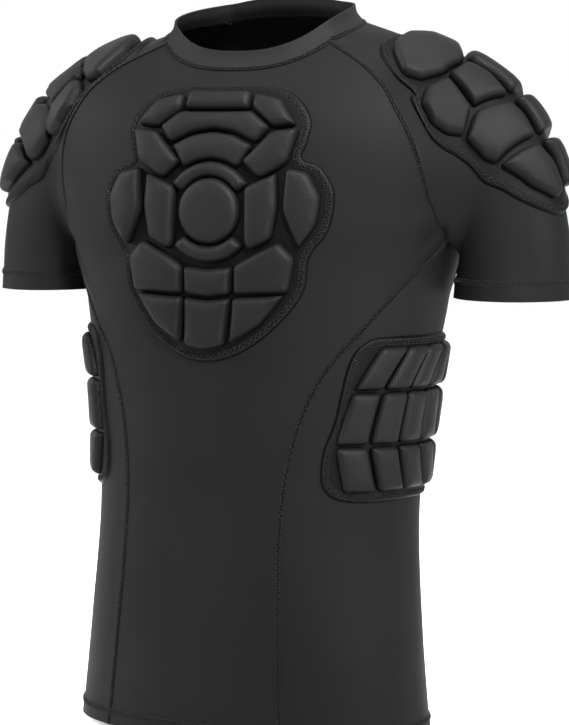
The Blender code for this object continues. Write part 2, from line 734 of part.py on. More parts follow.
def rib_place(side, normals):
    surface = GridSurface(side, normals, CLOTH_THICKNESS)
    middle = SIDE_COLUMNS / 2
    centre_row = surface.walk_column(middle, 0, RIB_PAD_RISE)

    def place(x, y):
        row = surface.walk_column(middle, centre_row, y)
        return surface.sample(row, surface.walk_row(row, middle, x))
    return place


def build():
    clear_scene()
    front = panel_grid(True)
    back = panel_grid(False)
    side, side_right = side_grid(), side_grid(right=True)
    sleeve = sleeve_grid(front, back, side)
    collar = collar_grid(front, back, sleeve)
    back_out = [list(reversed(row)) for row in back]
    sleeve_out = [list(reversed(row)) for row in sleeve]
    sleeve_right = mirror_grid(sleeve_out)
    normals = shared_normals([front, back_out, side, side_right, sleeve_out, sleeve_right, collar])

    cloth_wall("front_body", front, normals, CLOTH_THICKNESS)
    cloth_wall("back_body", back_out, normals, CLOTH_THICKNESS)
    cloth_wall("side_panel_left", side, normals, CLOTH_THICKNESS)
    cloth_wall("side_panel_right", side_right, normals, CLOTH_THICKNESS)
    cloth_wall("sleeve_left", sleeve_out, normals, CLOTH_THICKNESS, closed=True)
    cloth_wall("sleeve_right", sleeve_right, normals, CLOTH_THICKNESS, closed=True)
    cloth_wall("collar", collar, normals, COLLAR_THICKNESS, closed=True, colour=RIB_COLOUR)

    pad("chest_pad", chest_outline(), chest_cells(), chest_place(front, normals))
    shoulder, rib = shoulder_place(sleeve_out, normals), rib_place(side, normals)
    rib_right = rib_place([row[::-1] for row in side_right], normals)
    for tag, on_shoulder, on_ribs in (("left", shoulder, rib), ("right", mirrored_place(shoulder), rib_right)):
        right = tag == "right"
        pad("shoulder_pad_" + tag, shoulder_outline(), shoulder_cells(), on_shoulder,
            SHOULDER_PAD_LIFT, right=right)
        pad("rib_pad_" + tag, rib_outline(), rib_cells(), on_ribs, PAD_LIFT, RIB_CELL_HEIGHT, right)


build()
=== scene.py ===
"""Looks of the padded compression shirt: fine cloth, moulded pads, sewing, light and camera.

Metres, in the frame of the solids. The form below repeats the named sizes that made them.
"""
import json
import math

import bmesh
import bpy
import numpy as np
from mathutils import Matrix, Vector, geometry

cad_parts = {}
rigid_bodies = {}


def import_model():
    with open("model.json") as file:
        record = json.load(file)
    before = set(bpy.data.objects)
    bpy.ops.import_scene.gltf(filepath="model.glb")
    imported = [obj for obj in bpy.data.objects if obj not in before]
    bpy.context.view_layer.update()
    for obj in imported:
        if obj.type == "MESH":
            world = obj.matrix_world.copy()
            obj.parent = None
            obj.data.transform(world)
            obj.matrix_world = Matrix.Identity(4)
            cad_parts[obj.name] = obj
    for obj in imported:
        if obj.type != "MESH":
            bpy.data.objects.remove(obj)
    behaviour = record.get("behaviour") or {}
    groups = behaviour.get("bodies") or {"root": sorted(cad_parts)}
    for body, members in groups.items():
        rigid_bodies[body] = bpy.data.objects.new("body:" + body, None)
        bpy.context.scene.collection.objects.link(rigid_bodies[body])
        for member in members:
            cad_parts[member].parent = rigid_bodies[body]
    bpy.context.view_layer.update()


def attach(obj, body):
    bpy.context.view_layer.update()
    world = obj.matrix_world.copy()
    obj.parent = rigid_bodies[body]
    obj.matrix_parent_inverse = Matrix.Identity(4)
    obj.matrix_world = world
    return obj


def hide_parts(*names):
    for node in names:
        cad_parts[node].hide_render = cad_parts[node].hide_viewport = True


MIRROR = np.array([-1.0, 1.0, 1.0])

# Form of the cloth, as in the solids
CLOTH_THICKNESS = 0.0015
COLLAR_THICKNESS = 0.0022
HEM_Z = -0.665
UNDERARM_Z = -0.195
FRONT_CORNER_Z = -0.008
BACK_CORNER_Z = 0.016
FRONT_NECK_DROP = 0.026
BACK_NECK_RISE = 0.005
COLLAR_HEIGHT = 0.018
COLLAR_LEAN = 0.010

# Torso sections: height, half width, depth to the front and back, centre, squareness
SECTIONS = (
    (-0.665, 0.182, 0.118, 0.108, -0.030, 2.30),
    (-0.560, 0.172, 0.114, 0.100, -0.026, 2.30),
    (-0.450, 0.164, 0.113, 0.098, -0.018, 2.30),
    (-0.340, 0.168, 0.119, 0.105, -0.008, 2.35),
    (-0.250, 0.180, 0.127, 0.115, 0.000, 2.40),
    (-0.215, 0.187, 0.129, 0.121, 0.002, 2.42),
    (-0.195, 0.197, 0.129, 0.124, 0.003, 2.45),
    (-0.150, 0.208, 0.127, 0.127, 0.004, 2.50),
    (-0.105, 0.218, 0.122, 0.126, 0.006, 2.60),
    (-0.070, 0.222, 0.112, 0.116, 0.008, 2.60),
    (-0.040, 0.222, 0.092, 0.098, 0.010, 2.60),
    (-0.005, 0.214, 0.056, 0.072, 0.010, 2.50),
    (0.025, 0.200, 0.030, 0.040, 0.010, 2.40),
)

# Turn of the hips under the chest, in degrees, by height
HIP_TURN = (
    (-0.665, 9.5), (-0.560, 9.0), (-0.450, 7.5), (-0.350, 4.5), (-0.280, 1.2),
    (-0.240, 0.0), (-0.200, 0.0), (-0.150, 0.0), (0.025, 0.0),
)

# Seam angles around a section, from the panel's centre line, by height
FRONT_SIDE_SEAM = (
    (-0.665, 30), (-0.560, 29), (-0.430, 29), (-0.355, 33),
    (-0.300, 42), (-0.257, 57), (-0.220, 71), (-0.195, 81),
)
BACK_SIDE_SEAM = (
    (-0.665, 40), (-0.560, 40), (-0.430, 41), (-0.355, 45),
    (-0.300, 53), (-0.257, 64), (-0.220, 74), (-0.195, 81),
)
FRONT_RAGLAN = (
    (-0.195, 81), (-0.160, 67), (-0.137, 61), (-0.105, 53), (-0.075, 45), (-0.040, 34), (-0.008, 18.5),
)
BACK_RAGLAN = (
    (-0.195, 81), (-0.160, 69), (-0.137, 63), (-0.105, 54), (-0.075, 46), (-0.040, 35), (0.016, 15),
)

# Sleeve's start: how far its neck edge swings out, where it turns down, how it wraps the arm
NECK_FRONT_PULL = 0.026
NECK_BACK_PULL = 0.021
NECK_SIDE_Y = 0.015
NECK_SIDE_Z = 0.013
UNDERARM_WAY = (0.62, 0.02, -0.78)
UNDERARM_FADE = 3.4
UNDERARM_FADE_POWER = 1.5
WAY_SMOOTHING = 8
SLEEVE_SMOOTHING = 12

# Cuff ring of the wearer's left sleeve
CUFF_CENTRE = (0.246, 0.026, -0.250)
CUFF_RADIUS = 0.056
ARM_AXIS = (-0.01, 0.02, -0.99)
SLEEVE_START_PULL = 0.45
SLEEVE_END_PULL = 0.60
SHOULDER_SLOPE = (0.96, 0.03, -0.24)
SLEEVE_WRAP = 0.62
SLEEVE_WRAP_REACH = 0.070

SIDE_ROWS = 12
RAGLAN_ROWS = 9
FRONT_COLUMNS = 18
BACK_COLUMNS = 12
SIDE_COLUMNS = 12
NECK_SIDE_SPANS = 8
SLEEVE_ROWS = 12
COLLAR_ROWS = 2

# Nodes of the cloths, by the names used here
CLOTH_NODES = {
    "front": "front_body", "back": "back_body", "side_left": "side_panel_left",
    "side_right": "side_panel_right", "sleeve_left": "sleeve_left",
    "sleeve_right": "sleeve_right", "collar": "collar",
}

# Smallest size used as a divisor
TINY = 1e-12
# Points nearer than this are one point, in space and in a pad's flat plan
SAME_PLACE = 1e-6
FLAT_SAME_PLACE = 1e-8
SEAM_DIGITS = 5

# Fine spans to each span of the solids' grids, and how far a matched border is felt
FINE = 6
MATCH_REACH = 12

# Doubled cloth at the hem and cuffs
HEM_RISE = 0.0006
HEM_DEPTH = 0.013
CUFF_DEPTH = 0.017
HEM_STEP = 0.0020

# Main creases: start row and column, end row and column, in thousandths; width, height in 0.1 mm
CREASES = {
    "front": (
        (600, 30, 540, 125, 60, -28), (630, 40, 580, 140, 70, 22), (570, 30, 500, 80, 80, 24),
        (690, 35, 640, 110, 90, -14), (600, 970, 560, 900, 70, -18), (640, 965, 590, 880, 90, 12),
        (470, 30, 430, 300, 220, -14), (420, 900, 380, 700, 240, -12), (250, 50, 200, 400, 300, 12),
    ),
    "back": (
        (600, 970, 540, 860, 80, -26), (640, 960, 600, 840, 90, 20), (600, 30, 550, 150, 80, -22),
        (650, 40, 590, 170, 100, 18), (400, 120, 370, 520, 260, -22), (350, 880, 330, 480, 280, 22),
        (300, 150, 275, 600, 240, -18),
    ),
    "sleeve_right": (
        (40, 700, 300, 740, 60, -26), (40, 660, 260, 690, 60, 22), (600, 900, 550, 740, 120, -12),
    ),
    "sleeve_left": (
        (40, 280, 300, 240, 80, -16), (550, 80, 600, 240, 120, -12),
    ),
}
CREASE_FADE_IN = 4
CREASE_FADE_START = 0.25
CREASE_FADE_OUT = 2
CREASE_POINTS = 14

# Pads, as in the solids
PAD_LIFT = 0.0011
SHOULDER_PAD_LIFT = 0.0016
PAD_SHEET = 0.0018
CELL_HEIGHT = 0.0100
RIB_CELL_HEIGHT = 0.0075
CELL_DOME = 0.0015
CELL_GROOVE = 0.0011
CHEST_CELL_GROOVE = -0.0010
BOSS_RADIUS = 0.031
BOSS_CORNERS = 16
# Arcs round the boss: inner and outer radius, start and end angle, spans
UPPER_ARC = (0.033, 0.046, -57, 57, 6)
LOWER_ARC = (0.034, 0.048, -47, 47, 6)
INNER_FAN = (0.049, 0.073, -34, 34, 4)
CHEST_PAD_DROP = 0.146
SHOULDER_PAD_DROP = 0.177
RIB_PAD_RISE = 0.309

# Pad cells and outlines, in millimetres from the pad's middle: across to the left of the wearer, and up
CHEST_MIDDLE_CELLS = (
    ((-37, 92), (37, 92), (56, 77), (44, 63), (23, 73), (0, 77), (-23, 73), (-44, 63), (-56, 77)),
    ((-33, 95), (-32, 112), (32, 112), (33, 95)),
    ((-23, -77), (-24, -52), (0, -55), (24, -52), (23, -77), (0, -80)),
    ((-20, -126), (-23, -81), (0, -84), (23, -81), (20, -126), (0, -130)),
)
CHEST_SIDE_CELLS = (
    ((37, 109), (36, 96), (60, 77), (81, 78), (64, 101)),
    ((32, 46), (50, 30), (76, 44), (84, 73), (60, 73), (47, 60)),
    ((37, -30), (36, 22), (66, 34), (68, 4), (62, -26), (42, -36)),
    ((88, -34), (73, 0), (76, 38), (96, 33), (108, 10), (104, -14)),
    ((27, -77), (27, -51), (47, -40), (70, -29), (84, -44), (78, -76)),
    ((26, -123), (26, -81), (74, -79), (53, -107)),
)
CHEST_HALF_OUTLINE = (
    (0, 124), (42, 122), (74, 108), (94, 83), (93, 62), (89, 47), (107, 38), (121, 12), (116, -20),
    (98, -44), (92, -78), (66, -112), (34, -134), (0, -142),
)
# Shoulder cells: tab, upper, chest side, middle, tip, then upper, middle and tip behind
SHOULDER_CELLS = (
    ((-80, 134), (-70, 111), (-40, 79), (-7, 61), (14, 76), (19, 106), (-6, 128), (-40, 134)),
    ((-38, 77), (-7, 59), (-4, 37), (-9, 6), (-50, 38)),
    ((-74, 109), (-41, 77), (-53, 40), (-88, 54), (-112, 90), (-130, 126), (-112, 131)),
    ((-50, 36), (-13, 3), (-9, -14), (-11, -40), (-62, -25), (-76, 2), (-88, 50)),
    ((-12, -44), (-4, -66), (-2, -92), (-12, -104), (-34, -80), (-60, -29)),
    ((-5, 58), (-2, 36), (-6, 7), (42, 2), (50, 30), (42, 60), (18, 73)),
    ((-10, 2), (-6, -14), (-8, -41), (40, -40), (48, -18), (44, -2)),
    ((-9, -45), (-1, -66), (1, -92), (16, -96), (32, -72), (38, -45)),
)
SHOULDER_OUTLINE = (
    (-40, 143), (-6, 138), (20, 124), (30, 104), (33, 84), (48, 72), (59, 50), (62, 24), (58, -10),
    (52, -44), (44, -76), (24, -106), (0, -117), (-21, -111), (-45, -87), (-66, -52), (-85, -16), (-99, 30),
    (-116, 70), (-136, 108), (-143, 130), (-128, 141), (-107, 137), (-94, 127), (-88, 140), (-70, 144),
)
# Rib slabs lie between the rows' heights and between lines, each given where it crosses them
RIB_ROW_HEIGHTS = (70, 25, -27, -72)
RIB_LINES = (
    (-60, -75, -81, -68), (-29, -45, -49, -34), (1, -15, -17, -2), (31, 15, 15, 30), (57, 45, 47, 57),
    (76, 76, 77, 76),
)
RIB_OUTLINE = (
    (-58, 78), (0, 78), (60, 77), (82, 66), (85, 30), (83, -20), (85, -60), (74, -79), (0, -81), (-62, -80),
    (-86, -66), (-90, -34), (-84, 0), (-84, 56), (-75, 73),
)

# Pads' fine form: rounded corners, rolled shoulders, rings of points at set depths in a cell
CORNER_CUT = 0.0055
CORNER_SHARE = 0.48
CORNER_POINTS = 7
SHARPEST_CORNER = 0.35
CELL_ROLL = 0.0062
CELL_ROLL_POWER = 2.1
DOME_REACH = 0.014
# Painted shade in the pads' grooves: the cover's colour is darkened on the low sheet and fades back to full
# up to this height over it
PAINTED_SHADE_FADE_HEIGHT = 0.0060
# Share of the colour left by the painted groove shade at the bottom of a groove
PAINTED_SHADE_IN_GROOVES = 0.12
CELL_STEP = 0.0016
CELL_RINGS = (0.0, 0.0003, 0.0009, 0.0018, 0.0030, 0.0044, 0.0062)
CELL_GRID = 0.0040
SHEET_GRID = 0.0030
EDGE_RINGS = (0.0004, 0.0012, 0.0024)
EDGE_ROLL = 0.0024
EDGE_SUNK = 0.0004
OUTLINE_SPANS = 12
OUTLINE_STEP = 0.0022
UNDER_GRID = 0.014
# Space kept between a grid's points and the loop beside it, and between points of a ring
CELL_MARGIN = CELL_GRID * 0.5
SHEET_MARGIN = SHEET_GRID * 0.4
OUTSIDE_MARGIN = SHEET_GRID * 0.35
UNDER_MARGIN = UNDER_GRID * 0.4
RING_SPACING = CELL_STEP * 0.6
RING_SLACK = 0.00012
FEWEST_POINTS = 8
CHART_STEP = 0.002
CHART_HALF = 0.150

# Sewing
TAPE_WIDTH = 0.0048
TAPE_HEIGHT = 0.0006
STITCH = 0.0030
SEAM_WIDTH = 0.0034
HEM_WIDTH = 0.0046
PAD_STITCH_WIDTH = 0.0046
PAD_STITCH_INSET = 0.0052
THREAD_RADIUS = 0.00042
SEAM_THREAD_LIFT = TAPE_HEIGHT * 0.8
HEM_THREAD_LIFT = 0.0004
PAD_THREAD_LIFT = 0.0002
# Rings of a thread's spindle: place along it, then size and rise in radii
SPINDLE_RINGS = ((0.0, 0.45, -0.25), (0.5, 1.0, 0.55), (1.0, 0.45, -0.25))
ZIGZAG_RISE = 0.7
# Tape's cross-section: across in widths, up in heights
TAPE_PROFILE = ((-0.50, -0.6), (-0.34, 0.7), (0.0, 1.0), (0.34, 0.7), (0.50, -0.6))

# Angles past which an edge is shown sharp, in degrees
CLOTH_SHARP = 50
PAD_SHARP = 75
SEWING_SHARP = 180

# Colours, linear
THREAD_DARK = (0.0030, 0.0030, 0.0032, 1)
THREAD_LIGHT = (0.0120, 0.0120, 0.0125, 1)
FLOOR_COLOUR = (0.86, 0.86, 0.86, 1)
FLOOR_LIFT = 1.02
FLOOR_PALER = tuple(value * FLOOR_LIFT for value in FLOOR_COLOUR[:3]) + (1,)
WHITE = (1, 1, 1, 1)

# Knits: dark and light colour, roughness, gaps of wales and courses, relief depth, specular, painted shade
# in the grooves
KNITS = {
    "stretch_knit": ((0.0026, 0.0026, 0.0028, 1), (0.0044, 0.0044, 0.0047, 1),
                     0.58, 0.0011, 0.0009, 0.00012, 0.05, False),
    "neck_band_knit": ((0.0042, 0.0042, 0.0044, 1), (0.0066, 0.0066, 0.0070, 1),
                       0.60, 0.0011, 0.0009, 0.00012, 0.05, False),
    # The pad cover's last entry turns on painted shade in its grooves
    "pad_cover_knit": ((0.0026, 0.0026, 0.0028, 1), (0.0064, 0.0064, 0.0067, 1),
                       0.46, 0.0014, 0.0014, 0.00030, 0.06, True),
    "seam_edging": ((0.0003, 0.0003, 0.0003, 1), (0.0010, 0.0010, 0.0011, 1),
                    0.70, 0.0011, 0.0009, 0.00020, 0.02, False),
}
MOTTLE_SCALE = 9.0
MOTTLE_DETAIL = 3.0
GRAIN_SCALE = 700.0
MOTTLE_SHARE = 0.5
GRAIN_SHARE = 0.3
KNIT_SHARE = 0.2
RAMP_ENDS = (0.3, 0.7)
ROUGHNESS_SWING = 0.06
GRAIN_RELIEF = 0.8
BUMP_STRENGTH = 0.55
THREAD_GRAIN_SCALE = 1500.0
THREAD_GRAIN_DETAIL = 1.0
THREAD_ROUGHNESS = (0.55, 0.42)
THREAD_SPECULAR = 0.1
FLOOR_MOTTLE_SCALE = 3.0
FLOOR_ROUGHNESS = 0.9
FLOOR_GLOW = 0.3

# Camera
CAMERA_AZIMUTH = 24.5
CAMERA_ELEVATION = 4.5
CAMERA_DISTANCE = 3.0
FRAME_HEIGHT = 0.7105
SENSOR = 36.0
AIM_RIGHT = 0.016
AIM_Z = -0.318

# Lights: name, place, target, size, power in watts, spread in degrees
CHEST_TARGET = (0.03, -0.06, -0.11)
SIDE_TARGET = (0, 0, -0.28)
LIGHTS = (
    ("key_chest", (0.9, -1.3, 1.2), CHEST_TARGET, (0.5, 0.5), 8.5, 38),
    ("key_top", (0.2, -0.2, 2.0), CHEST_TARGET, (1.0, 0.8), 48, 180),
    ("side_left", (2.1, -0.5, 0.7), SIDE_TARGET, (0.5, 1.4), 95, 180),
    ("side_right", (-2.1, -0.7, 0.7), SIDE_TARGET, (0.5, 1.4), 78, 180),
)
FLOOR_REACH = 6.0
FLOOR_Z = HEM_Z - 0.006


def smooth_lookup(table, column, at):
    """Smooth value from a table's rows."""
    keys = [row[0] for row in table]
    values = [row[column] for row in table]
    at = min(max(at, keys[0]), keys[-1])
    spot = max(i for i in range(len(keys) - 1) if keys[i] <= at or i == 0)

    def slope(i):
        low, high = max(i - 1, 0), min(i + 1, len(keys) - 1)
        return (values[high] - values[low]) / (keys[high] - keys[low])

    span = keys[spot + 1] - keys[spot]
    t = (at - keys[spot]) / span
    start = (1 + 2 * t) * (1 - t) ** 2 * values[spot] + t * (1 - t) ** 2 * span * slope(spot)
    end = t * t * (3 - 2 * t) * values[spot + 1] - t * t * (1 - t) * span * slope(spot + 1)
    return start + end


def torso_point(angle, z):
    """Point of the torso at an angle from its front, in degrees, and a height."""
    width, front, back, centre, power = (
        smooth_lookup(SECTIONS, column, z) for column in range(1, len(SECTIONS[0])))
    sine, cosine = math.sin(math.radians(angle)), math.cos(math.radians(angle))
    x = width * math.copysign(abs(sine) ** (2 / power), sine)
    depth = front if cosine > 0 else back
    y = -depth * math.copysign(abs(cosine) ** (2 / power), cosine)
    turn = math.radians(smooth_lookup(HIP_TURN, 1, z))
    return Vector((x * math.cos(turn) + y * math.sin(turn),
                   centre - x * math.sin(turn) + y * math.cos(turn), z))


def edge_levels(top_z):
    """Heights of a panel's rows along its edge: side seam, then raglan."""
    side = [HEM_Z + (UNDERARM_Z - HEM_Z) * i / SIDE_ROWS for i in range(SIDE_ROWS)]
    raglan = [UNDERARM_Z + (top_z - UNDERARM_Z) * i / RAGLAN_ROWS for i in range(RAGLAN_ROWS + 1)]
    return side + raglan


def panel_point(across, edge_z, front):
    """Point of a panel: across is -1 to 1, edge_z the height of its row's edge."""
    corner_z = FRONT_CORNER_Z if front else BACK_CORNER_Z
    raglan, seam = (FRONT_RAGLAN, FRONT_SIDE_SEAM) if front else (BACK_RAGLAN, BACK_SIDE_SEAM)
    edge = smooth_lookup(raglan if edge_z > UNDERARM_Z else seam, 1, edge_z)
    centre_top = corner_z - FRONT_NECK_DROP if front else corner_z + BACK_NECK_RISE
    top = centre_top + (corner_z - centre_top) * across * across
    z = HEM_Z + (top - HEM_Z) * (edge_z - HEM_Z) / (corner_z - HEM_Z)
    return torso_point(across * edge if front else 180 - across * edge, z)


def panel_grid(front):
    columns = FRONT_COLUMNS if front else BACK_COLUMNS
    levels = edge_levels(FRONT_CORNER_Z if front else BACK_CORNER_Z)
    steps = [2 * i / columns - 1 for i in range(columns + 1)]
    return [[panel_point(step, level, front) for step in steps] for level in levels]


def side_grid(right=False):
    """Side panel, left to right as seen from outside."""
    rows = []
    for level in edge_levels(FRONT_CORNER_Z)[:SIDE_ROWS + 1]:
        start = smooth_lookup(FRONT_SIDE_SEAM, 1, level)
        end = 180 - smooth_lookup(BACK_SIDE_SEAM, 1, level)
        angles = [start + (end - start) * i / SIDE_COLUMNS for i in range(SIDE_COLUMNS + 1)]
        row = [torso_point(-angle if right else angle, level) for angle in angles]
        rows.append(row[::-1] if right else row)
    return rows


def cubic(a, b, c, d, t):
    return a * (1 - t) ** 3 + b * 3 * t * (1 - t) ** 2 + c * 3 * t * t * (1 - t) + d * t ** 3


def neck_side_curve(front_row, back_row):
    """Sleeve's neck edge, from the front neckline round to the back one."""
    start, end = front_row[-1], back_row[-1]
    leaving = (start - front_row[-2]).normalized()
    arriving = (back_row[-2] - end).normalized()
    first, second = start + leaving * NECK_FRONT_PULL, end - arriving * NECK_BACK_PULL
    return [cubic(start, first, second, end, i / NECK_SIDE_SPANS) for i in range(NECK_SIDE_SPANS + 1)]


def sleeve_start_loop(front, back, side):
    """Armhole loop: from under the arm up the front, over the neck, down the back."""
    middle = SIDE_COLUMNS // 2
    top = side[-1]
    up = [row[-1] for row in front[SIDE_ROWS:]]
    down = [row[-1] for row in back[:SIDE_ROWS - 1:-1]]
    neck = neck_side_curve(front[-1], back[-1])
    return top[middle:0:-1] + up + neck[1:-1] + down + top[SIDE_COLUMNS - 1:middle:-1]


def averaged(ring):
    return [(ring[i - 1] + ring[i] * 2 + ring[(i + 1) % len(ring)]) / 4 for i in range(len(ring))]


def start_directions(loop):
    """Way the sleeve leaves its start loop."""
    under = Vector(UNDERARM_WAY).normalized()
    directions = []
    for point in loop:
        height = max((point.z - UNDERARM_Z) / (NECK_SIDE_Z - UNDERARM_Z), 0)
        wrap = SLEEVE_WRAP * min(max((NECK_SIDE_Y - point.y) / SLEEVE_WRAP_REACH, -1), 1)
        outward = Vector((SHOULDER_SLOPE[0], SHOULDER_SLOPE[1] + wrap, SHOULDER_SLOPE[2]))
        blend = max(1 - height * UNDERARM_FADE, 0) ** UNDERARM_FADE_POWER
        directions.append((outward.normalized() * (1 - blend) + under * blend).normalized())
    for _ in range(WAY_SMOOTHING):
        directions = [way.normalized() for way in averaged(directions)]
    return directions


def cuff_ring(loop):
    """Cuff points, matched to the start loop by its length."""
    axis = Vector(ARM_AXIS).normalized()
    ways = (Vector((-1, 0, 0)), Vector((0, -1, 0)))
    inner, front = ((way - axis * way.dot(axis)).normalized() for way in ways)
    lengths = [(loop[(i + 1) % len(loop)] - loop[i]).length for i in range(len(loop))]
    points, gone = [], 0.0
    for length in lengths:
        turn = 2 * math.pi * gone / sum(lengths)
        around = inner * math.cos(turn) + front * math.sin(turn)
        points.append(Vector(CUFF_CENTRE) + around * CUFF_RADIUS)
        gone += length
    return points


def sleeve_grid(front, back, side):
    """Rows of rings from the armhole loop to the cuff."""
    loop = sleeve_start_loop(front, back, side)
    ways = start_directions(loop)
    cuff = cuff_ring(loop)
    axis = Vector(ARM_AXIS).normalized()
    rows = []
    for r in range(SLEEVE_ROWS + 1):
        t = r / SLEEVE_ROWS
        ring = []
        for start, way, end in zip(loop, ways, cuff):
            reach = (end - start).length
            first = start + way * reach * SLEEVE_START_PULL
            second = end - axis * reach * SLEEVE_END_PULL
            ring.append(cubic(start, first, second, end, t))
        for _ in range(round(SLEEVE_SMOOTHING * 4 * t * (1 - t))):
            ring = averaged(ring)
        rows.append(ring + [ring[0]])
    return rows


def collar_grid(front, back, left_sleeve):
    """Neck band: the neck's edge, raised and leaning in."""
    neck = left_sleeve[0]
    start = next(i for i, p in enumerate(neck) if (p - front[-1][-1]).length < SAME_PLACE)
    side = neck[start:start + NECK_SIDE_SPANS + 1]
    mirrored_side = [Vector((-p.x, p.y, p.z)) for p in side[:0:-1]]
    loop = front[-1][:-1] + side[:-1] + back[-1][:0:-1] + mirrored_side
    centre_y = sum(p.y for p in loop) / len(loop)
    rows = []
    for r in range(COLLAR_ROWS + 1):
        t = r / COLLAR_ROWS
        ring = []
        for point in loop:
            inward = Vector((-point.x, centre_y - point.y, 0)).normalized()
            ring.append(point + Vector((0, 0, COLLAR_HEIGHT * t)) + inward * COLLAR_LEAN * t * (2 - t))
        rows.append(ring + [ring[0]])
    return rows


def curve_between(a, b, c, d, t):
    """Smooth curve from b to c, with a before and d after."""
    return 0.5 * (2 * b + (c - a) * t + (2 * a - 5 * b + 4 * c - d) * t ** 2
                  + (3 * b - a - 3 * c + d) * t ** 3)


def curve_at(table, at):
    """Smooth curve through a table's rows, at fractional rows."""
    low = np.minimum(np.asarray(at).astype(int), len(table) - 2)
    picks = [table[np.clip(low + k, 0, len(table) - 1)] for k in (-1, 0, 1, 2)]
    return curve_between(*picks, np.asarray(at - low)[..., None])


def refine_rows(grid, closed):
    if closed:
        wide = np.concatenate([grid[-2:-1], grid, grid[1:2]])
    else:
        wide = np.concatenate([2 * grid[:1] - grid[1:2], grid, 2 * grid[-1:] - grid[-2:-1]])
    rows = [curve_between(*wide[i:i + 4], j / FINE) for i in range(len(grid) - 1) for j in range(FINE)]
    return np.array(rows + [grid[-1]])


def refine(grid, closed=False):
    """Smooth surface through a grid's points; closed joins its sides."""
    grid = np.array([[tuple(p) for p in row] for row in grid])
    across = refine_rows(grid.swapaxes(0, 1), closed).swapaxes(0, 1)
    return refine_rows(across, False)


def match_rows(grid, target, rows_in=MATCH_REACH):
    """Row 0 moved on to the target; the next rows follow less and less."""
    shift = target - grid[0]
    for r in range(rows_in):
        grid[r] += shift * (1 - r / rows_in) ** 2


def unit(vectors):
    return vectors / np.maximum(np.linalg.norm(vectors, axis=-1, keepdims=True), TINY)


def grid_normals(grid, closed):
    """Unit outward normals at a grid's points."""
    if closed:
        across = np.concatenate([grid[:, -2:-1], grid, grid[:, 1:2]], axis=1)
        across = across[:, 2:] - across[:, :-2]
    else:
        across = np.gradient(grid, axis=1)
    return unit(np.cross(across, np.gradient(grid, axis=0)))


def running_length(points, axis=0):
    """Distance of every point from the first one, along an axis of the table."""
    steps = np.linalg.norm(np.diff(points, axis=axis), axis=-1)
    first = np.zeros_like(np.take(steps, [0], axis=axis))
    return np.concatenate([first, np.cumsum(steps, axis=axis)], axis=axis)


def border_spots(shape):
    rows, columns = shape[:2]
    spots = [(r, c) for r in (0, rows - 1) for c in range(columns)]
    return spots + [(r, c) for r in range(1, rows - 1) for c in (0, columns - 1)]


class Cloth:
    """A fine sheet: inner and outer points with their normals."""

    def __init__(self, grid, closed=False, thickness=CLOTH_THICKNESS):
        self.inner = grid
        self.closed = closed
        self.thickness = thickness
        self.normals = grid_normals(grid, closed)
        self.outer = None

    def add_relief(self, creases, rise):
        """Outer points with creases and a doubled edge; inner ones with creases alone."""
        relief = crease_height(self.inner.reshape(-1, 3), creases).reshape(self.inner.shape[:2])
        self.outer = self.inner + self.normals * (self.thickness + relief + rise)[..., None]
        self.inner = self.inner + self.normals * relief[..., None]

    def line_from_edge(self, distance, last_row):
        """Outer points and normals at a distance from the first or last row."""
        lengths = running_length(self.inner)
        wanted = lengths[-1] - distance if last_row else np.full(lengths.shape[1], distance)
        points, normals = [], []
        for c in range(lengths.shape[1]):
            row = np.interp(wanted[c], lengths[:, c], np.arange(len(lengths)))
            low = min(int(row), len(lengths) - 2)
            share = row - low
            points.append(self.outer[low, c] * (1 - share) + self.outer[low + 1, c] * share)
            normals.append(self.normals[low, c])
        return np.array(points), np.array(normals)


def share_normals(cloths):
    """Sheets get one normal at each point they share."""
    sums = {}
    borders = [(cloth.normals, spot, tuple(np.round(cloth.inner[spot], SEAM_DIGITS)))
               for cloth in cloths for spot in border_spots(cloth.inner.shape)]
    for normals, spot, key in borders:
        sums[key] = sums.get(key, 0) + normals[spot]
    for normals, spot, key in borders:
        normals[spot] = sums[key] / np.linalg.norm(sums[key])


def smooth_step(t):
    t = np.clip(t, 0, 1)
    return t * t * (3 - 2 * t)


def crease_paths(cloths):
    paths = []
    shares = np.linspace(0, 1, CREASE_POINTS)
    for piece, creases in CREASES.items():
        grid = cloths[piece].inner
        for crease in creases:
            row, column, end_row, end_column = (share / 1000 for share in crease[:4])
            rows = (row + (end_row - row) * shares) * (len(grid) - 1)
            columns = (column + (end_column - column) * shares) * (grid.shape[1] - 1)
            points = [grid[round(r), round(c)] for r, c in zip(rows, columns)]
            paths.append((np.array(points), crease[4] / 10000, crease[5] / 10000))
    return paths


def span_distance(points, a, b):
    """Distance of points from the line a to b, and where along it they are nearest."""
    way = b - a
    t = np.clip((points - a) @ way / max(way @ way, TINY), 0, 1)
    return np.linalg.norm(points - a - t[:, None] * way, axis=1), t


def crease_height(points, creases):
    """Height of all creases at the points; they fade toward their ends."""
    total = np.zeros(len(points))
    for path, width, height in creases:
        nearest, spot = np.full(len(points), np.inf), np.zeros(len(points))
        for i in range(len(path) - 1):
            distance, t = span_distance(points, path[i], path[i + 1])
            better = distance < nearest
            nearest[better] = distance[better]
            spot[better] = (i + t[better]) / (len(path) - 1)
        fade = smooth_step(spot * CREASE_FADE_IN + CREASE_FADE_START)
        fade = fade * smooth_step((1 - spot) * CREASE_FADE_OUT)
        total += height * np.exp(-(nearest / width) ** 2) * fade
    return total


def edge_rise(cloth, depth, last_row):
    """Step up of a doubled edge."""
    lengths = running_length(cloth.inner)
    distance = lengths[-1] - lengths if last_row else lengths
    return HEM_RISE * (1 - smooth_step((distance - depth) / HEM_STEP))


def add_object(name, data, place=(0, 0, 0), facing=None):
    """Object in the scene; facing is the way that a light or camera looks."""
    made = bpy.data.objects.new(name, data)
    made.location = place
    if facing is not None:
        made.rotation_euler = facing.to_track_quat("-Z", "Y").to_euler()
    bpy.context.scene.collection.objects.link(made)
    return made


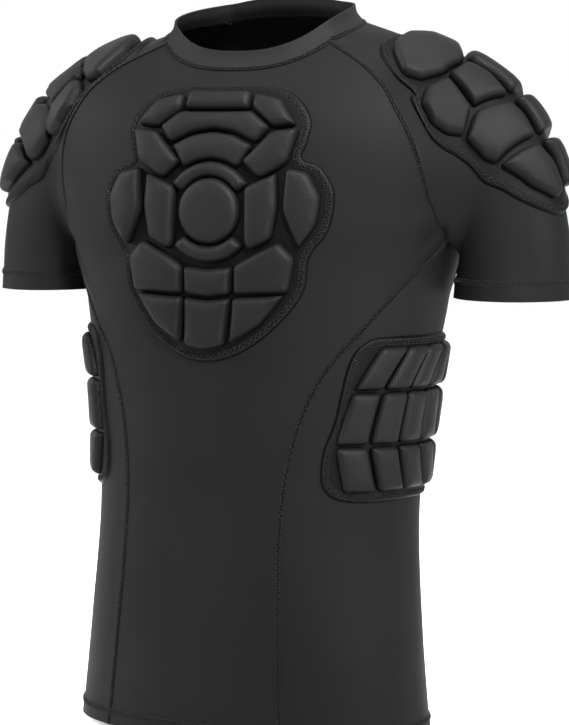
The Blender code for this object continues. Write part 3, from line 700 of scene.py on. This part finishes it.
def new_object(name, vertices, faces, material, uvs=None, sharp=CLOTH_SHARP):
    mesh = bpy.data.meshes.new(name)
    mesh.from_pydata(vertices.tolist(), [], faces)
    mesh.update()
    mesh.shade_smooth()
    mesh.set_sharp_from_angle(angle=math.radians(sharp))
    if uvs is not None:
        layer = mesh.uv_layers.new(name="cloth")
        corners = np.zeros(len(mesh.loops), int)
        mesh.loops.foreach_get("vertex_index", corners)
        layer.data.foreach_set("uv", np.asarray(uvs)[corners].ravel())
    mesh.materials.append(material)
    made = add_object(name, mesh)
    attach(made, "root")
    return made


def cloth_object(name, cloth, material):
    """Closed shell of a sheet: outer points, inner points, and the edges between."""
    rows, columns = cloth.inner.shape[:2]
    count = rows * columns
    index = np.arange(count).reshape(rows, columns)
    a, b, c, d = (part.ravel() for part in (index[:-1, :-1], index[:-1, 1:], index[1:, 1:], index[1:, :-1]))
    faces = [np.stack([a, b, c, d], axis=-1), np.stack([a, d, c, b], axis=-1) + count]
    edges = [(index[0], 1), (index[-1], -1)]
    if not cloth.closed:
        edges += [(index[:, 0], -1), (index[:, -1], 1)]
    for line, way in edges:
        rim = np.stack([line[:-1] + count, line[1:] + count, line[1:], line[:-1]], axis=-1)
        faces.append(rim[:, ::way])
    flat = np.stack([running_length(cloth.inner, 1), running_length(cloth.inner)], axis=-1).reshape(-1, 2)
    vertices = np.concatenate([cloth.outer.reshape(-1, 3), cloth.inner.reshape(-1, 3)])
    faces = np.concatenate(faces).tolist()
    made = new_object(name, vertices, faces, material, np.concatenate([flat, flat]))
    if cloth.closed:
        weld(made)
    return made


def weld(made):
    """Joins the first and last column of a tube."""
    mesh = bmesh.new()
    mesh.from_mesh(made.data)
    bmesh.ops.remove_doubles(mesh, verts=mesh.verts, dist=SAME_PLACE)
    mesh.to_mesh(made.data)
    mesh.free()


def sector(inner, outer, start, end, steps):
    """Cell between two arcs, angles in degrees from straight up."""
    def arc(radius, angles):
        return [(radius * math.sin(math.radians(a)), radius * math.cos(math.radians(a))) for a in angles]
    angles = [start + (end - start) * i / steps for i in range(steps + 1)]
    return arc(outer, angles) + arc(inner, list(reversed(angles)))


def mirrored(cell):
    return [(-x, y) for x, y in reversed(cell)]


def metres(points):
    return [(x / 1000, y / 1000) for x, y in points]


def chest_cells():
    """Round boss, two thin arcs, a fan above, blocks beside and below."""
    turns = [2 * math.pi * i / BOSS_CORNERS for i in range(BOSS_CORNERS, 0, -1)]
    middle = [
        [(BOSS_RADIUS * math.cos(turn), BOSS_RADIUS * math.sin(turn)) for turn in turns],
        sector(*UPPER_ARC),
        [(x, -y) for x, y in reversed(sector(*LOWER_ARC))],
        sector(*INNER_FAN),
    ]
    side = [metres(cell) for cell in CHEST_SIDE_CELLS]
    return middle + [metres(cell) for cell in CHEST_MIDDLE_CELLS] + side + [mirrored(cell) for cell in side]


def chest_outline():
    half = metres(CHEST_HALF_OUTLINE)
    return half + mirrored(half[1:-1])


def rib_cells():
    """Three rows of five slabs."""
    cells = []
    for left, right in zip(RIB_LINES, RIB_LINES[1:]):
        corners = list(zip(left, right, RIB_ROW_HEIGHTS))
        for (a, b, high), (c, d, low) in zip(corners, corners[1:]):
            cells.append(metres([(a, high), (b, high), (d, low), (c, low)]))
    return cells


def clockwise(loop):
    loop = np.array(loop, float)
    after = np.roll(loop, -1, axis=0)
    area = np.sum(loop[:, 0] * after[:, 1] - loop[:, 1] * after[:, 0])
    return loop[::-1] if area > 0 else loop


def inward_normals(loop):
    """Normals that point into a clockwise loop."""
    way = unit(np.roll(loop, -1, axis=0) - np.roll(loop, 1, axis=0))
    return np.stack([way[:, 1], -way[:, 0]], axis=1)


def inset_corners(loop, distance):
    """Corners moved in from both their edges."""
    edge_in = unit(loop - np.roll(loop, 1, axis=0))
    edge_out = np.roll(edge_in, -1, axis=0)
    bisector = np.stack([edge_in[:, 1] + edge_out[:, 1], -edge_in[:, 0] - edge_out[:, 0]], axis=1)
    size = np.maximum(np.sum(bisector ** 2, axis=1) / 2, SHARPEST_CORNER)
    return loop + bisector * distance / size[:, None]


def rounded_loop(corners, cut):
    """Each corner turned into a curve, cut less on short edges."""
    points = []
    count = len(corners)
    for i in range(count):
        here, before, after = corners[i], corners[i - 1], corners[(i + 1) % count]
        to_before, to_after = before - here, after - here
        start = here + to_before * min(cut / np.linalg.norm(to_before), CORNER_SHARE)
        end = here + to_after * min(cut / np.linalg.norm(to_after), CORNER_SHARE)
        for t in np.linspace(0, 1, CORNER_POINTS):
            points.append(start * (1 - t) ** 2 + here * 2 * t * (1 - t) + end * t * t)
    return np.array(points)


def at_lengths(wanted, lengths, table):
    return np.stack([np.interp(wanted, lengths, column) for column in table.T], axis=1)


def even_loop(loop, step):
    """Closed loop with points at equal steps."""
    closed = np.concatenate([loop, loop[:1]])
    lengths = running_length(closed)
    count = max(round(lengths[-1] / step), FEWEST_POINTS)
    wanted = np.arange(count) * lengths[-1] / count
    return at_lengths(wanted, lengths, closed)


def smooth_outline(corners):
    corners = clockwise(corners)
    dense = []
    for i in range(len(corners)):
        a, b, c, d = (corners[(i + k) % len(corners)] for k in (-1, 0, 1, 2))
        dense += [curve_between(a, b, c, d, j / OUTLINE_SPANS) for j in range(OUTLINE_SPANS)]
    return even_loop(np.array(dense), OUTLINE_STEP)


def loop_distance(points, loop):
    """Distance of points from a closed loop, positive inside it."""
    nearest = np.full(len(points), np.inf)
    inside = np.zeros(len(points), bool)
    for a, b in zip(loop, np.roll(loop, -1, axis=0)):
        nearest = np.minimum(nearest, span_distance(points, a, b)[0])
        crosses = (a[1] > points[:, 1]) != (b[1] > points[:, 1])
        if a[1] != b[1]:
            at = a[0] + (b[0] - a[0]) * (points[:, 1] - a[1]) / (b[1] - a[1])
            inside ^= crosses & (points[:, 0] < at)
    return np.where(inside, nearest, -nearest)


def square_points(loop, step):
    low, high = loop.min(axis=0), loop.max(axis=0)
    xs = np.arange(math.floor(low[0] / step), math.ceil(high[0] / step) + 1) * step
    ys = np.arange(math.floor(low[1] / step), math.ceil(high[1] / step) + 1) * step
    return np.stack(np.meshgrid(xs, ys), axis=-1).reshape(-1, 2)


def rings_inside(loop, depths):
    """Points at set depths inside a loop, where no other edge is nearer."""
    normals = inward_normals(loop)
    kept = []
    for depth in depths:
        ring = loop + normals * depth
        if depth > 0:
            ring = ring[loop_distance(ring, loop) > depth - RING_SLACK]
        kept.append(thin_out(ring, RING_SPACING))
    return np.concatenate(kept)


def thin_out(points, spacing):
    """Points of a line that keep their spacing."""
    kept = []
    for point in points:
        if not kept or np.linalg.norm(point - kept[-1]) > spacing:
            kept.append(point)
    if len(kept) > 1 and np.linalg.norm(kept[-1] - kept[0]) < spacing:
        kept.pop()
    return np.array(kept).reshape(-1, 2)


def cell_profile(depth, cell_height):
    """Height over the sheet: rolled shoulder, then a low dome."""
    roll = np.clip(depth / CELL_ROLL, 0, 1)
    shoulder = (1 - (1 - roll) ** CELL_ROLL_POWER) ** (1 / CELL_ROLL_POWER)
    return cell_height * shoulder + CELL_DOME * smooth_step(depth / DOME_REACH)


def triangulate(points, border_count):
    """Triangles over points that start with the border."""
    edges = [(i, (i + 1) % border_count) for i in range(border_count)]
    found = geometry.delaunay_2d_cdt([Vector(p) for p in points], edges, [], 1, FLAT_SAME_PLACE)
    where = [origins[0] for origins in found[3]]
    return [tuple(where[i] for i in face) for face in found[2]]


class PadChart:
    """Places on a cloth for pad coordinates, measured along its rows and columns."""

    def __init__(self, cloth, column, start, x_way, y_way):
        self.ticks = np.arange(-CHART_HALF, CHART_HALF + CHART_STEP / 2, CHART_STEP)
        grid, normals = cloth.outer, cloth.normals
        lengths = running_length(grid[:, column])
        middle = lengths[-1] + start if start < 0 else start
        points, ups = [], []
        for y in self.ticks:
            row = np.interp(middle + y * y_way, lengths, np.arange(len(lengths)))
            line, up = curve_at(grid, row), curve_at(normals, row)
            along = running_length(line)
            at = np.interp(along[column] + self.ticks * x_way, along, np.arange(len(along)))
            points.append(curve_at(line, at))
            ups.append(curve_at(up, at))
        self.points, self.normals = np.array(points), unit(np.array(ups))

    def place(self, flat, height):
        """Points over the cloth at the given heights, with their normals."""
        spots = (np.asarray(flat) - self.ticks[0]) / CHART_STEP
        low = np.clip(spots.astype(int), 0, len(self.ticks) - 2)
        u, v = (spots - low)[:, :1], (spots - low)[:, 1:]
        c, r = low[:, 0], low[:, 1]

        def mixed(table):
            near = table[r, c] * (1 - u) + table[r, c + 1] * u
            far = table[r + 1, c] * (1 - u) + table[r + 1, c + 1] * u
            return near * (1 - v) + far * v
        normals = unit(mixed(self.normals))
        return mixed(self.points) + normals * np.asarray(height)[:, None], normals


def pad_form(outline, cells, lift, cell_height, groove):
    """Flat points, heights and triangles of a pad with its border first."""
    border = smooth_outline(outline)
    points = [border, rings_inside(border, EDGE_RINGS)]
    loops = []
    for cell in cells:
        foot = inset_corners(clockwise(cell), groove)
        loop = even_loop(rounded_loop(foot, CORNER_CUT), CELL_STEP)
        loops.append(loop)
        points.append(rings_inside(loop, CELL_RINGS))
        inner = square_points(loop, CELL_GRID)
        points.append(inner[loop_distance(inner, loop) > CELL_RINGS[-1] + CELL_MARGIN])
    sheet = square_points(border, SHEET_GRID)
    sheet = sheet[loop_distance(sheet, border) > EDGE_RINGS[-1] + SHEET_MARGIN]
    for loop in loops:
        sheet = sheet[loop_distance(sheet, loop) < -OUTSIDE_MARGIN]
    points = np.concatenate(points + [sheet])
    edge = smooth_step(np.maximum(loop_distance(points, border), 0) / EDGE_ROLL)
    heights = -EDGE_SUNK + (lift + PAD_SHEET + EDGE_SUNK) * np.sqrt(edge)
    heights[:len(border)] = -EDGE_SUNK
    for loop in loops:
        depth = loop_distance(points, loop)
        heights += np.where(depth > 0, cell_profile(np.maximum(depth, 0), cell_height), 0)
    return border, points, heights, triangulate(points, len(border))


def pad_object(name, chart, form, lift, material, right=False):
    border, flat, heights, faces = form
    count = len(border)
    under = square_points(border, UNDER_GRID)
    under = under[loop_distance(under, border) > UNDER_MARGIN]
    under_flat = np.concatenate([border, under])
    top, _ = chart.place(flat, heights)
    bottom, _ = chart.place(under, np.full(len(under), -EDGE_SUNK))
    base = len(top)
    moved = [i if i < count else base + i - count for i in range(len(under_flat))]
    under_faces = [tuple(moved[i] for i in reversed(face)) for face in triangulate(under_flat, count)]
    vertices = np.concatenate([top, bottom])
    faces = list(faces) + under_faces
    if right:
        faces = [tuple(reversed(face)) for face in faces]
    made = new_object(name, vertices, faces, material, np.concatenate([flat, under]), sharp=PAD_SHARP)
    # Painted shade mask: 0 on the sheet and in the grooves, rising to 1 up the cells
    rise = np.clip((heights - lift - PAD_SHEET) / PAINTED_SHADE_FADE_HEIGHT, 0, 1)
    shade = made.data.attributes.new("painted_shade_rise", "FLOAT", "POINT")
    shade.data.foreach_set("value", np.concatenate([rise, np.zeros(len(bottom))]))
    return made


def even_path(points, normals, step, closed):
    """Points and normals at equal steps along a line in space."""
    if closed:
        points, normals = np.concatenate([points, points[:1]]), np.concatenate([normals, normals[:1]])
    lengths = running_length(points)
    count = max(round(lengths[-1] / step), 2)
    wanted = np.linspace(0, lengths[-1], count + 1)
    return at_lengths(wanted, lengths, points), unit(at_lengths(wanted, lengths, normals))


def side_ways(points, normals):
    return unit(np.cross(normals, np.gradient(points, axis=0)))


class Pieces:
    """Collects many small pieces into one mesh."""

    def __init__(self):
        self.vertices, self.faces, self.count = [], [], 0

    def build(self, name, material):
        faces = np.concatenate(self.faces).tolist()
        return new_object(name, np.concatenate(self.vertices), faces, material, sharp=SEWING_SHARP)


class Threads(Pieces):
    """Short threads, each a four-sided spindle."""

    def add(self, starts, ends, normals):
        along = ends - starts
        side = unit(np.cross(along, normals))
        for t, size, rise in SPINDLE_RINGS:
            centre = starts + along * t + normals * THREAD_RADIUS * rise
            for corner in (side, normals, -side, -normals):
                self.vertices.append(centre + corner * THREAD_RADIUS * size)
        number = len(starts)
        rings = np.arange(12)[None, :] * number + np.arange(number)[:, None] + self.count
        for ring in (0, 4):
            for k in range(4):
                after = (k + 1) % 4
                self.faces.append(rings[:, [ring + k, ring + after, ring + 4 + after, ring + 4 + k]])
        self.faces += [rings[:, [3, 2, 1, 0]], rings[:, [8, 9, 10, 11]]]
        self.count += 12 * number

    def ladder(self, points, normals, width, step, lift, closed):
        """Two lines of stitches with a zigzag between them."""
        points, normals = even_path(points, normals, step, closed)
        side = side_ways(points, normals)
        left = points + side * width / 2 + normals * lift
        right = points - side * width / 2 + normals * lift
        self.add(left[:-1], left[1:], normals[:-1])
        self.add(right[:-1], right[1:], normals[:-1])
        middle = normals * THREAD_RADIUS * ZIGZAG_RISE
        for first, one, other in ((0, left, right), (1, right, left)):
            at = np.arange(first, len(points) - 1, 2)
            self.add((one + middle)[at], (other + middle)[at + 1], normals[at])


class Tape(Pieces):
    """Low rounded strips, laid along seams."""

    def add(self, points, normals, closed):
        points, normals = even_path(points, normals, TAPE_WIDTH, closed)
        side = side_ways(points, normals)
        strips = [points + side * TAPE_WIDTH * across + normals * TAPE_HEIGHT * up
                  for across, up in TAPE_PROFILE]
        self.vertices.append(np.stack(strips, axis=1).reshape(-1, 3))
        number = len(TAPE_PROFILE)
        index = np.arange(len(points) * number).reshape(-1, number) + self.count
        a, b = index[:-1, :-1], index[1:, :-1]
        self.faces.append(np.stack([a, b, b + 1, a + 1], axis=-1).reshape(-1, 4))
        self.count += len(points) * number


class Nodes:
    """Small helper to lay out a material's nodes."""

    def __init__(self, name):
        self.material = bpy.data.materials.new(name)
        self.material.use_nodes = True
        self.tree = self.material.node_tree
        self.sockets = self.tree.nodes["Principled BSDF"].inputs
        place = self.add("ShaderNodeTexCoord")
        self.flat, self.solid = place.outputs["UV"], place.outputs["Object"]

    def add(self, kind, inputs=None, **settings):
        """Node with its settings, and its inputs linked or set."""
        node = self.tree.nodes.new(kind)
        for key, value in settings.items():
            setattr(node, key, value)
        for key, value in (inputs or {}).items():
            self.feed(node.inputs[key], value)
        return node

    def feed(self, socket, value):
        if isinstance(value, bpy.types.NodeSocket):
            self.tree.links.new(value, socket)
        else:
            socket.default_value = value

    def feed_shader(self, values):
        for key, value in values.items():
            self.feed(self.sockets[key], value)

    def math(self, operation, first, second):
        return self.add("ShaderNodeMath", {0: first, 1: second}, operation=operation).outputs[0]

    def ramp(self, factor, dark, light):
        node = self.add("ShaderNodeValToRGB", {"Fac": factor})
        for element, position, colour in zip(node.color_ramp.elements, RAMP_ENDS, (dark, light)):
            element.position = position
            element.color = colour
        return node.outputs["Color"]

    def span(self, factor, low, high):
        inputs = {"Value": factor, "To Min": low, "To Max": high}
        return self.add("ShaderNodeMapRange", inputs).outputs["Result"]

    def wave(self, period, direction):
        """Even ribs; the texture repeats every pi / 10 at scale 1."""
        inputs = {"Scale": math.pi / 10 / period, "Vector": self.flat}
        return self.add("ShaderNodeTexWave", inputs, bands_direction=direction).outputs["Fac"]

    def noise(self, scale, detail=2.0):
        inputs = {"Scale": scale, "Detail": detail, "Vector": self.solid}
        return self.add("ShaderNodeTexNoise", inputs).outputs["Fac"]


def knit_material(name, dark, light, roughness, wale, course, depth, specular, painted_groove_shade):
    """Fine wales and courses with a soft mottle; the last argument paints shade into the pads' grooves,
    darkening their low places.
    """
    nodes = Nodes(name)
    knit = nodes.math("MULTIPLY", nodes.wave(wale, "X"), nodes.wave(course, "Y"))
    broad = nodes.noise(MOTTLE_SCALE, MOTTLE_DETAIL)
    grain = nodes.noise(GRAIN_SCALE)
    mixed = nodes.math("ADD", nodes.math("MULTIPLY", broad, MOTTLE_SHARE),
                       nodes.math("MULTIPLY", grain, GRAIN_SHARE))
    mixed = nodes.math("ADD", mixed, nodes.math("MULTIPLY", knit, KNIT_SHARE))
    colour = nodes.ramp(mixed, dark, light)
    # Painted shade: the colour is scaled down where the pad's surface lies low in its grooves
    if painted_groove_shade:
        rise = nodes.add("ShaderNodeAttribute", attribute_name="painted_shade_rise").outputs["Fac"]
        scale = {0: colour, "Scale": nodes.span(rise, PAINTED_SHADE_IN_GROOVES, 1.0)}
        colour = nodes.add("ShaderNodeVectorMath", scale, operation="SCALE").outputs["Vector"]
    relief = nodes.math("ADD", knit, nodes.math("MULTIPLY", grain, GRAIN_RELIEF))
    bump = nodes.add("ShaderNodeBump", {"Strength": BUMP_STRENGTH, "Distance": depth, "Height": relief})
    nodes.feed_shader({
        "Base Color": colour,
        "Roughness": nodes.span(mixed, roughness + ROUGHNESS_SWING, roughness - ROUGHNESS_SWING),
        "Specular IOR Level": specular,
        "Normal": bump.outputs["Normal"],
    })
    return nodes.material


def thread_material():
    nodes = Nodes("sewing_thread")
    grain = nodes.noise(THREAD_GRAIN_SCALE, THREAD_GRAIN_DETAIL)
    nodes.feed_shader({
        "Base Color": nodes.ramp(grain, THREAD_DARK, THREAD_LIGHT),
        "Roughness": nodes.span(grain, *THREAD_ROUGHNESS),
        "Specular IOR Level": THREAD_SPECULAR,
    })
    return nodes.material


def floor_material():
    nodes = Nodes("pale_floor")
    nodes.feed_shader({
        "Base Color": nodes.ramp(nodes.noise(FLOOR_MOTTLE_SCALE), FLOOR_COLOUR, FLOOR_PALER),
        "Roughness": FLOOR_ROUGHNESS,
        "Emission Color": WHITE,
        "Emission Strength": FLOOR_GLOW,
    })
    return nodes.material


def area_light(name, place, target, size, power, spread):
    data = bpy.data.lights.new(name, "AREA")
    data.shape = "RECTANGLE"
    data.size, data.size_y = size
    data.energy = power
    data.spread = math.radians(spread)
    add_object(name, data, place, Vector(target) - Vector(place))


def add_camera():
    azimuth, elevation = math.radians(CAMERA_AZIMUTH), math.radians(CAMERA_ELEVATION)
    right = Vector((math.cos(azimuth), math.sin(azimuth), 0))
    back = Vector((math.sin(azimuth) * math.cos(elevation), -math.cos(azimuth) * math.cos(elevation),
                   math.sin(elevation)))
    target = right * AIM_RIGHT + Vector((0, 0, AIM_Z))
    data = bpy.data.cameras.new("camera")
    data.sensor_width = SENSOR
    data.lens = SENSOR * CAMERA_DISTANCE / FRAME_HEIGHT
    bpy.context.scene.camera = add_object("camera", data, target + back * CAMERA_DISTANCE, -back)


def add_stage():
    mesh = bpy.data.meshes.new("floor")
    corners = ((-1, -1), (1, -1), (1, 1), (-1, 1))
    mesh.from_pydata([(x * FLOOR_REACH, y * FLOOR_REACH, FLOOR_Z) for x, y in corners], [], [(0, 1, 2, 3)])
    mesh.materials.append(floor_material())
    add_object("floor", mesh)
    world = bpy.data.worlds.new("studio")
    world.use_nodes = True
    background = world.node_tree.nodes["Background"]
    background.inputs["Color"].default_value = WHITE
    background.inputs["Strength"].default_value = 1.0
    bpy.context.scene.world = world
    for light in LIGHTS:
        area_light(*light)
    bpy.context.scene.view_settings.view_transform = "Standard"


def build_cloths():
    """Fine sheets of every cut piece, matched along their seams."""
    front, back, side = panel_grid(True), panel_grid(False), side_grid()
    sleeve = sleeve_grid(front, back, side)
    collar = collar_grid(front, back, sleeve)
    fine_front, fine_back, fine_side = refine(front), refine(back), refine(side)
    fine_side_right = refine(side_grid(right=True))
    fine_sleeve, fine_collar = refine(sleeve, True), refine(collar, True)
    under, middle = SIDE_ROWS * FINE, SIDE_COLUMNS * FINE // 2
    for panel, first, last, edge in ((fine_side, fine_front, fine_back, -1),
                                     (fine_side_right, fine_back, fine_front, 0)):
        match_rows(panel.swapaxes(0, 1), first[:under + 1, edge])
        match_rows(panel.swapaxes(0, 1)[::-1], last[:under + 1, edge])
    neck_start = middle + RAGLAN_ROWS * FINE
    neck = fine_sleeve[0, neck_start:neck_start + NECK_SIDE_SPANS * FINE].copy()
    top = fine_side[-1]
    armhole = np.concatenate([top[middle:0:-1], fine_front[under:-1, -1], neck,
                              fine_back[:under:-1, -1], top[:middle - 1:-1]])
    match_rows(fine_sleeve, armhole)
    neck_right = neck[:0:-1] * MIRROR
    ring = np.concatenate([fine_front[-1, :-1], neck, fine_back[-1, ::-1], neck_right,
                           fine_front[-1, :1]])
    match_rows(fine_collar, ring, FINE)
    return {
        "front": Cloth(fine_front), "back": Cloth(fine_back[:, ::-1]),
        "side_left": Cloth(fine_side), "side_right": Cloth(fine_side_right),
        "sleeve_left": Cloth(fine_sleeve[:, ::-1], True),
        "sleeve_right": Cloth(fine_sleeve * MIRROR, True),
        "collar": Cloth(fine_collar, True, COLLAR_THICKNESS),
    }


def seam_lines(cloths):
    """Seams: outer points, normals, and whether each line is closed."""
    under = SIDE_ROWS * FINE
    spots = [(name, rows, column) for name in ("front", "back") for column in (0, -1)
             for rows in (slice(under + 1), slice(under, None))]
    for tag in ("left", "right"):
        spots += [("side_" + tag, -1, slice(None)), ("sleeve_" + tag, slice(None), 0)]
    spots.append(("collar", 0, slice(-1)))
    return [(cloths[name].outer[rows, columns], cloths[name].normals[rows, columns], name == "collar")
            for name, rows, columns in spots]


def hem_lines(cloths):
    """Stitch lines above the hem and the cuffs."""
    order = ("front", "side_left", "back", "side_right")
    parts = [cloths[name].line_from_edge(HEM_DEPTH, False) for name in order]
    lines = [(np.concatenate([points[:-1] for points, _ in parts]),
              np.concatenate([normals[:-1] for _, normals in parts]), True)]
    for tag in ("left", "right"):
        points, normals = cloths["sleeve_" + tag].line_from_edge(CUFF_DEPTH, True)
        lines.append((points[:-1], normals[:-1], True))
    return lines


def declare_sheet(cloth):
    """Lengths along the sheet's rows and columns; a tube's width is taken over its far half. Nothing else
    is done with them.
    """
    rows, columns = running_length(cloth.inner, 1), running_length(cloth.inner)
    if cloth.closed:
        rows = rows[len(rows) // 2:]


def pad_charts(cloths):
    """Charts of the pads by node; the right ones run the other way across."""
    middle = FRONT_COLUMNS * FINE // 2
    charts = {"chest_pad": PadChart(cloths["front"], middle, -CHEST_PAD_DROP, 1, 1)}
    for tag, way in (("left", 1), ("right", -1)):
        sleeve, side = cloths["sleeve_" + tag], cloths["side_" + tag]
        top = (sleeve.outer.shape[1] - 1) // 2
        charts["shoulder_pad_" + tag] = PadChart(sleeve, top, SHOULDER_PAD_DROP, -way, -1)
        charts["rib_pad_" + tag] = PadChart(side, SIDE_COLUMNS * FINE // 2, RIB_PAD_RISE, way, 1)
    return charts


def add_pads(cloths, cover, thread):
    shoulder = [metres(cell) for cell in SHOULDER_CELLS]
    pads = {
        "chest_pad": (chest_outline(), chest_cells(), PAD_LIFT, CELL_HEIGHT, CHEST_CELL_GROOVE),
        "shoulder_pad": (metres(SHOULDER_OUTLINE), shoulder, SHOULDER_PAD_LIFT, CELL_HEIGHT, CELL_GROOVE),
        "rib_pad": (metres(RIB_OUTLINE), rib_cells(), PAD_LIFT, RIB_CELL_HEIGHT, CELL_GROOVE),
    }
    forms = {name: pad_form(*pad) for name, pad in pads.items()}
    for node, chart in pad_charts(cloths).items():
        name = node.removesuffix("_left").removesuffix("_right")
        form, lift = forms[name], pads[name][2]
        piece = pad_object(node + "_moulded", chart, form, lift, cover, node.endswith("_right"))
        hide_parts(node)
        border = form[0]
        path = even_loop(border + inward_normals(border) * PAD_STITCH_INSET, STITCH / 2)
        points, normals = chart.place(path, np.full(len(path), lift + PAD_SHEET))
        stitches = Threads()
        stitches.ladder(points, normals, PAD_STITCH_WIDTH, STITCH, PAD_THREAD_LIFT, True)
        stitches.build(node + "_threads", thread)


def build():
    for thing in list(bpy.data.objects):
        bpy.data.objects.remove(thing, do_unlink=True)
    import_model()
    add_camera()
    add_stage()
    cloths = build_cloths()
    share_normals(cloths.values())
    creases = crease_paths(cloths)
    for name, cloth in cloths.items():
        rise = 0.0
        if name.startswith("sleeve"):
            rise = edge_rise(cloth, CUFF_DEPTH, True)
        elif name != "collar":
            rise = edge_rise(cloth, HEM_DEPTH, False)
        cloth.add_relief(creases, rise)

    knit, band, cover, edging = (knit_material(name, *look) for name, look in KNITS.items())
    thread = thread_material()

    shown = {}
    for name, node in CLOTH_NODES.items():
        collar = name == "collar"
        piece = cloth_object(name + "_cloth", cloths[name], band if collar else knit)
        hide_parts(node)
        shown[name] = piece

    tape, seams, hems = Tape(), Threads(), Threads()
    for points, normals, closed in seam_lines(cloths):
        tape.add(points, normals, closed)
        seams.ladder(points, normals, SEAM_WIDTH, STITCH, SEAM_THREAD_LIFT, closed)
    for points, normals, closed in hem_lines(cloths):
        hems.ladder(points, normals, HEM_WIDTH, STITCH, HEM_THREAD_LIFT, closed)
    sewing = ((tape, "seam_tape", edging), (seams, "seam_threads", thread), (hems, "hem_threads", thread))
    for pieces, name, material in sewing:
        pieces.build(name, material)

    add_pads(cloths, cover, thread)
    for name, piece in shown.items():
        declare_sheet(cloths[name])


build()
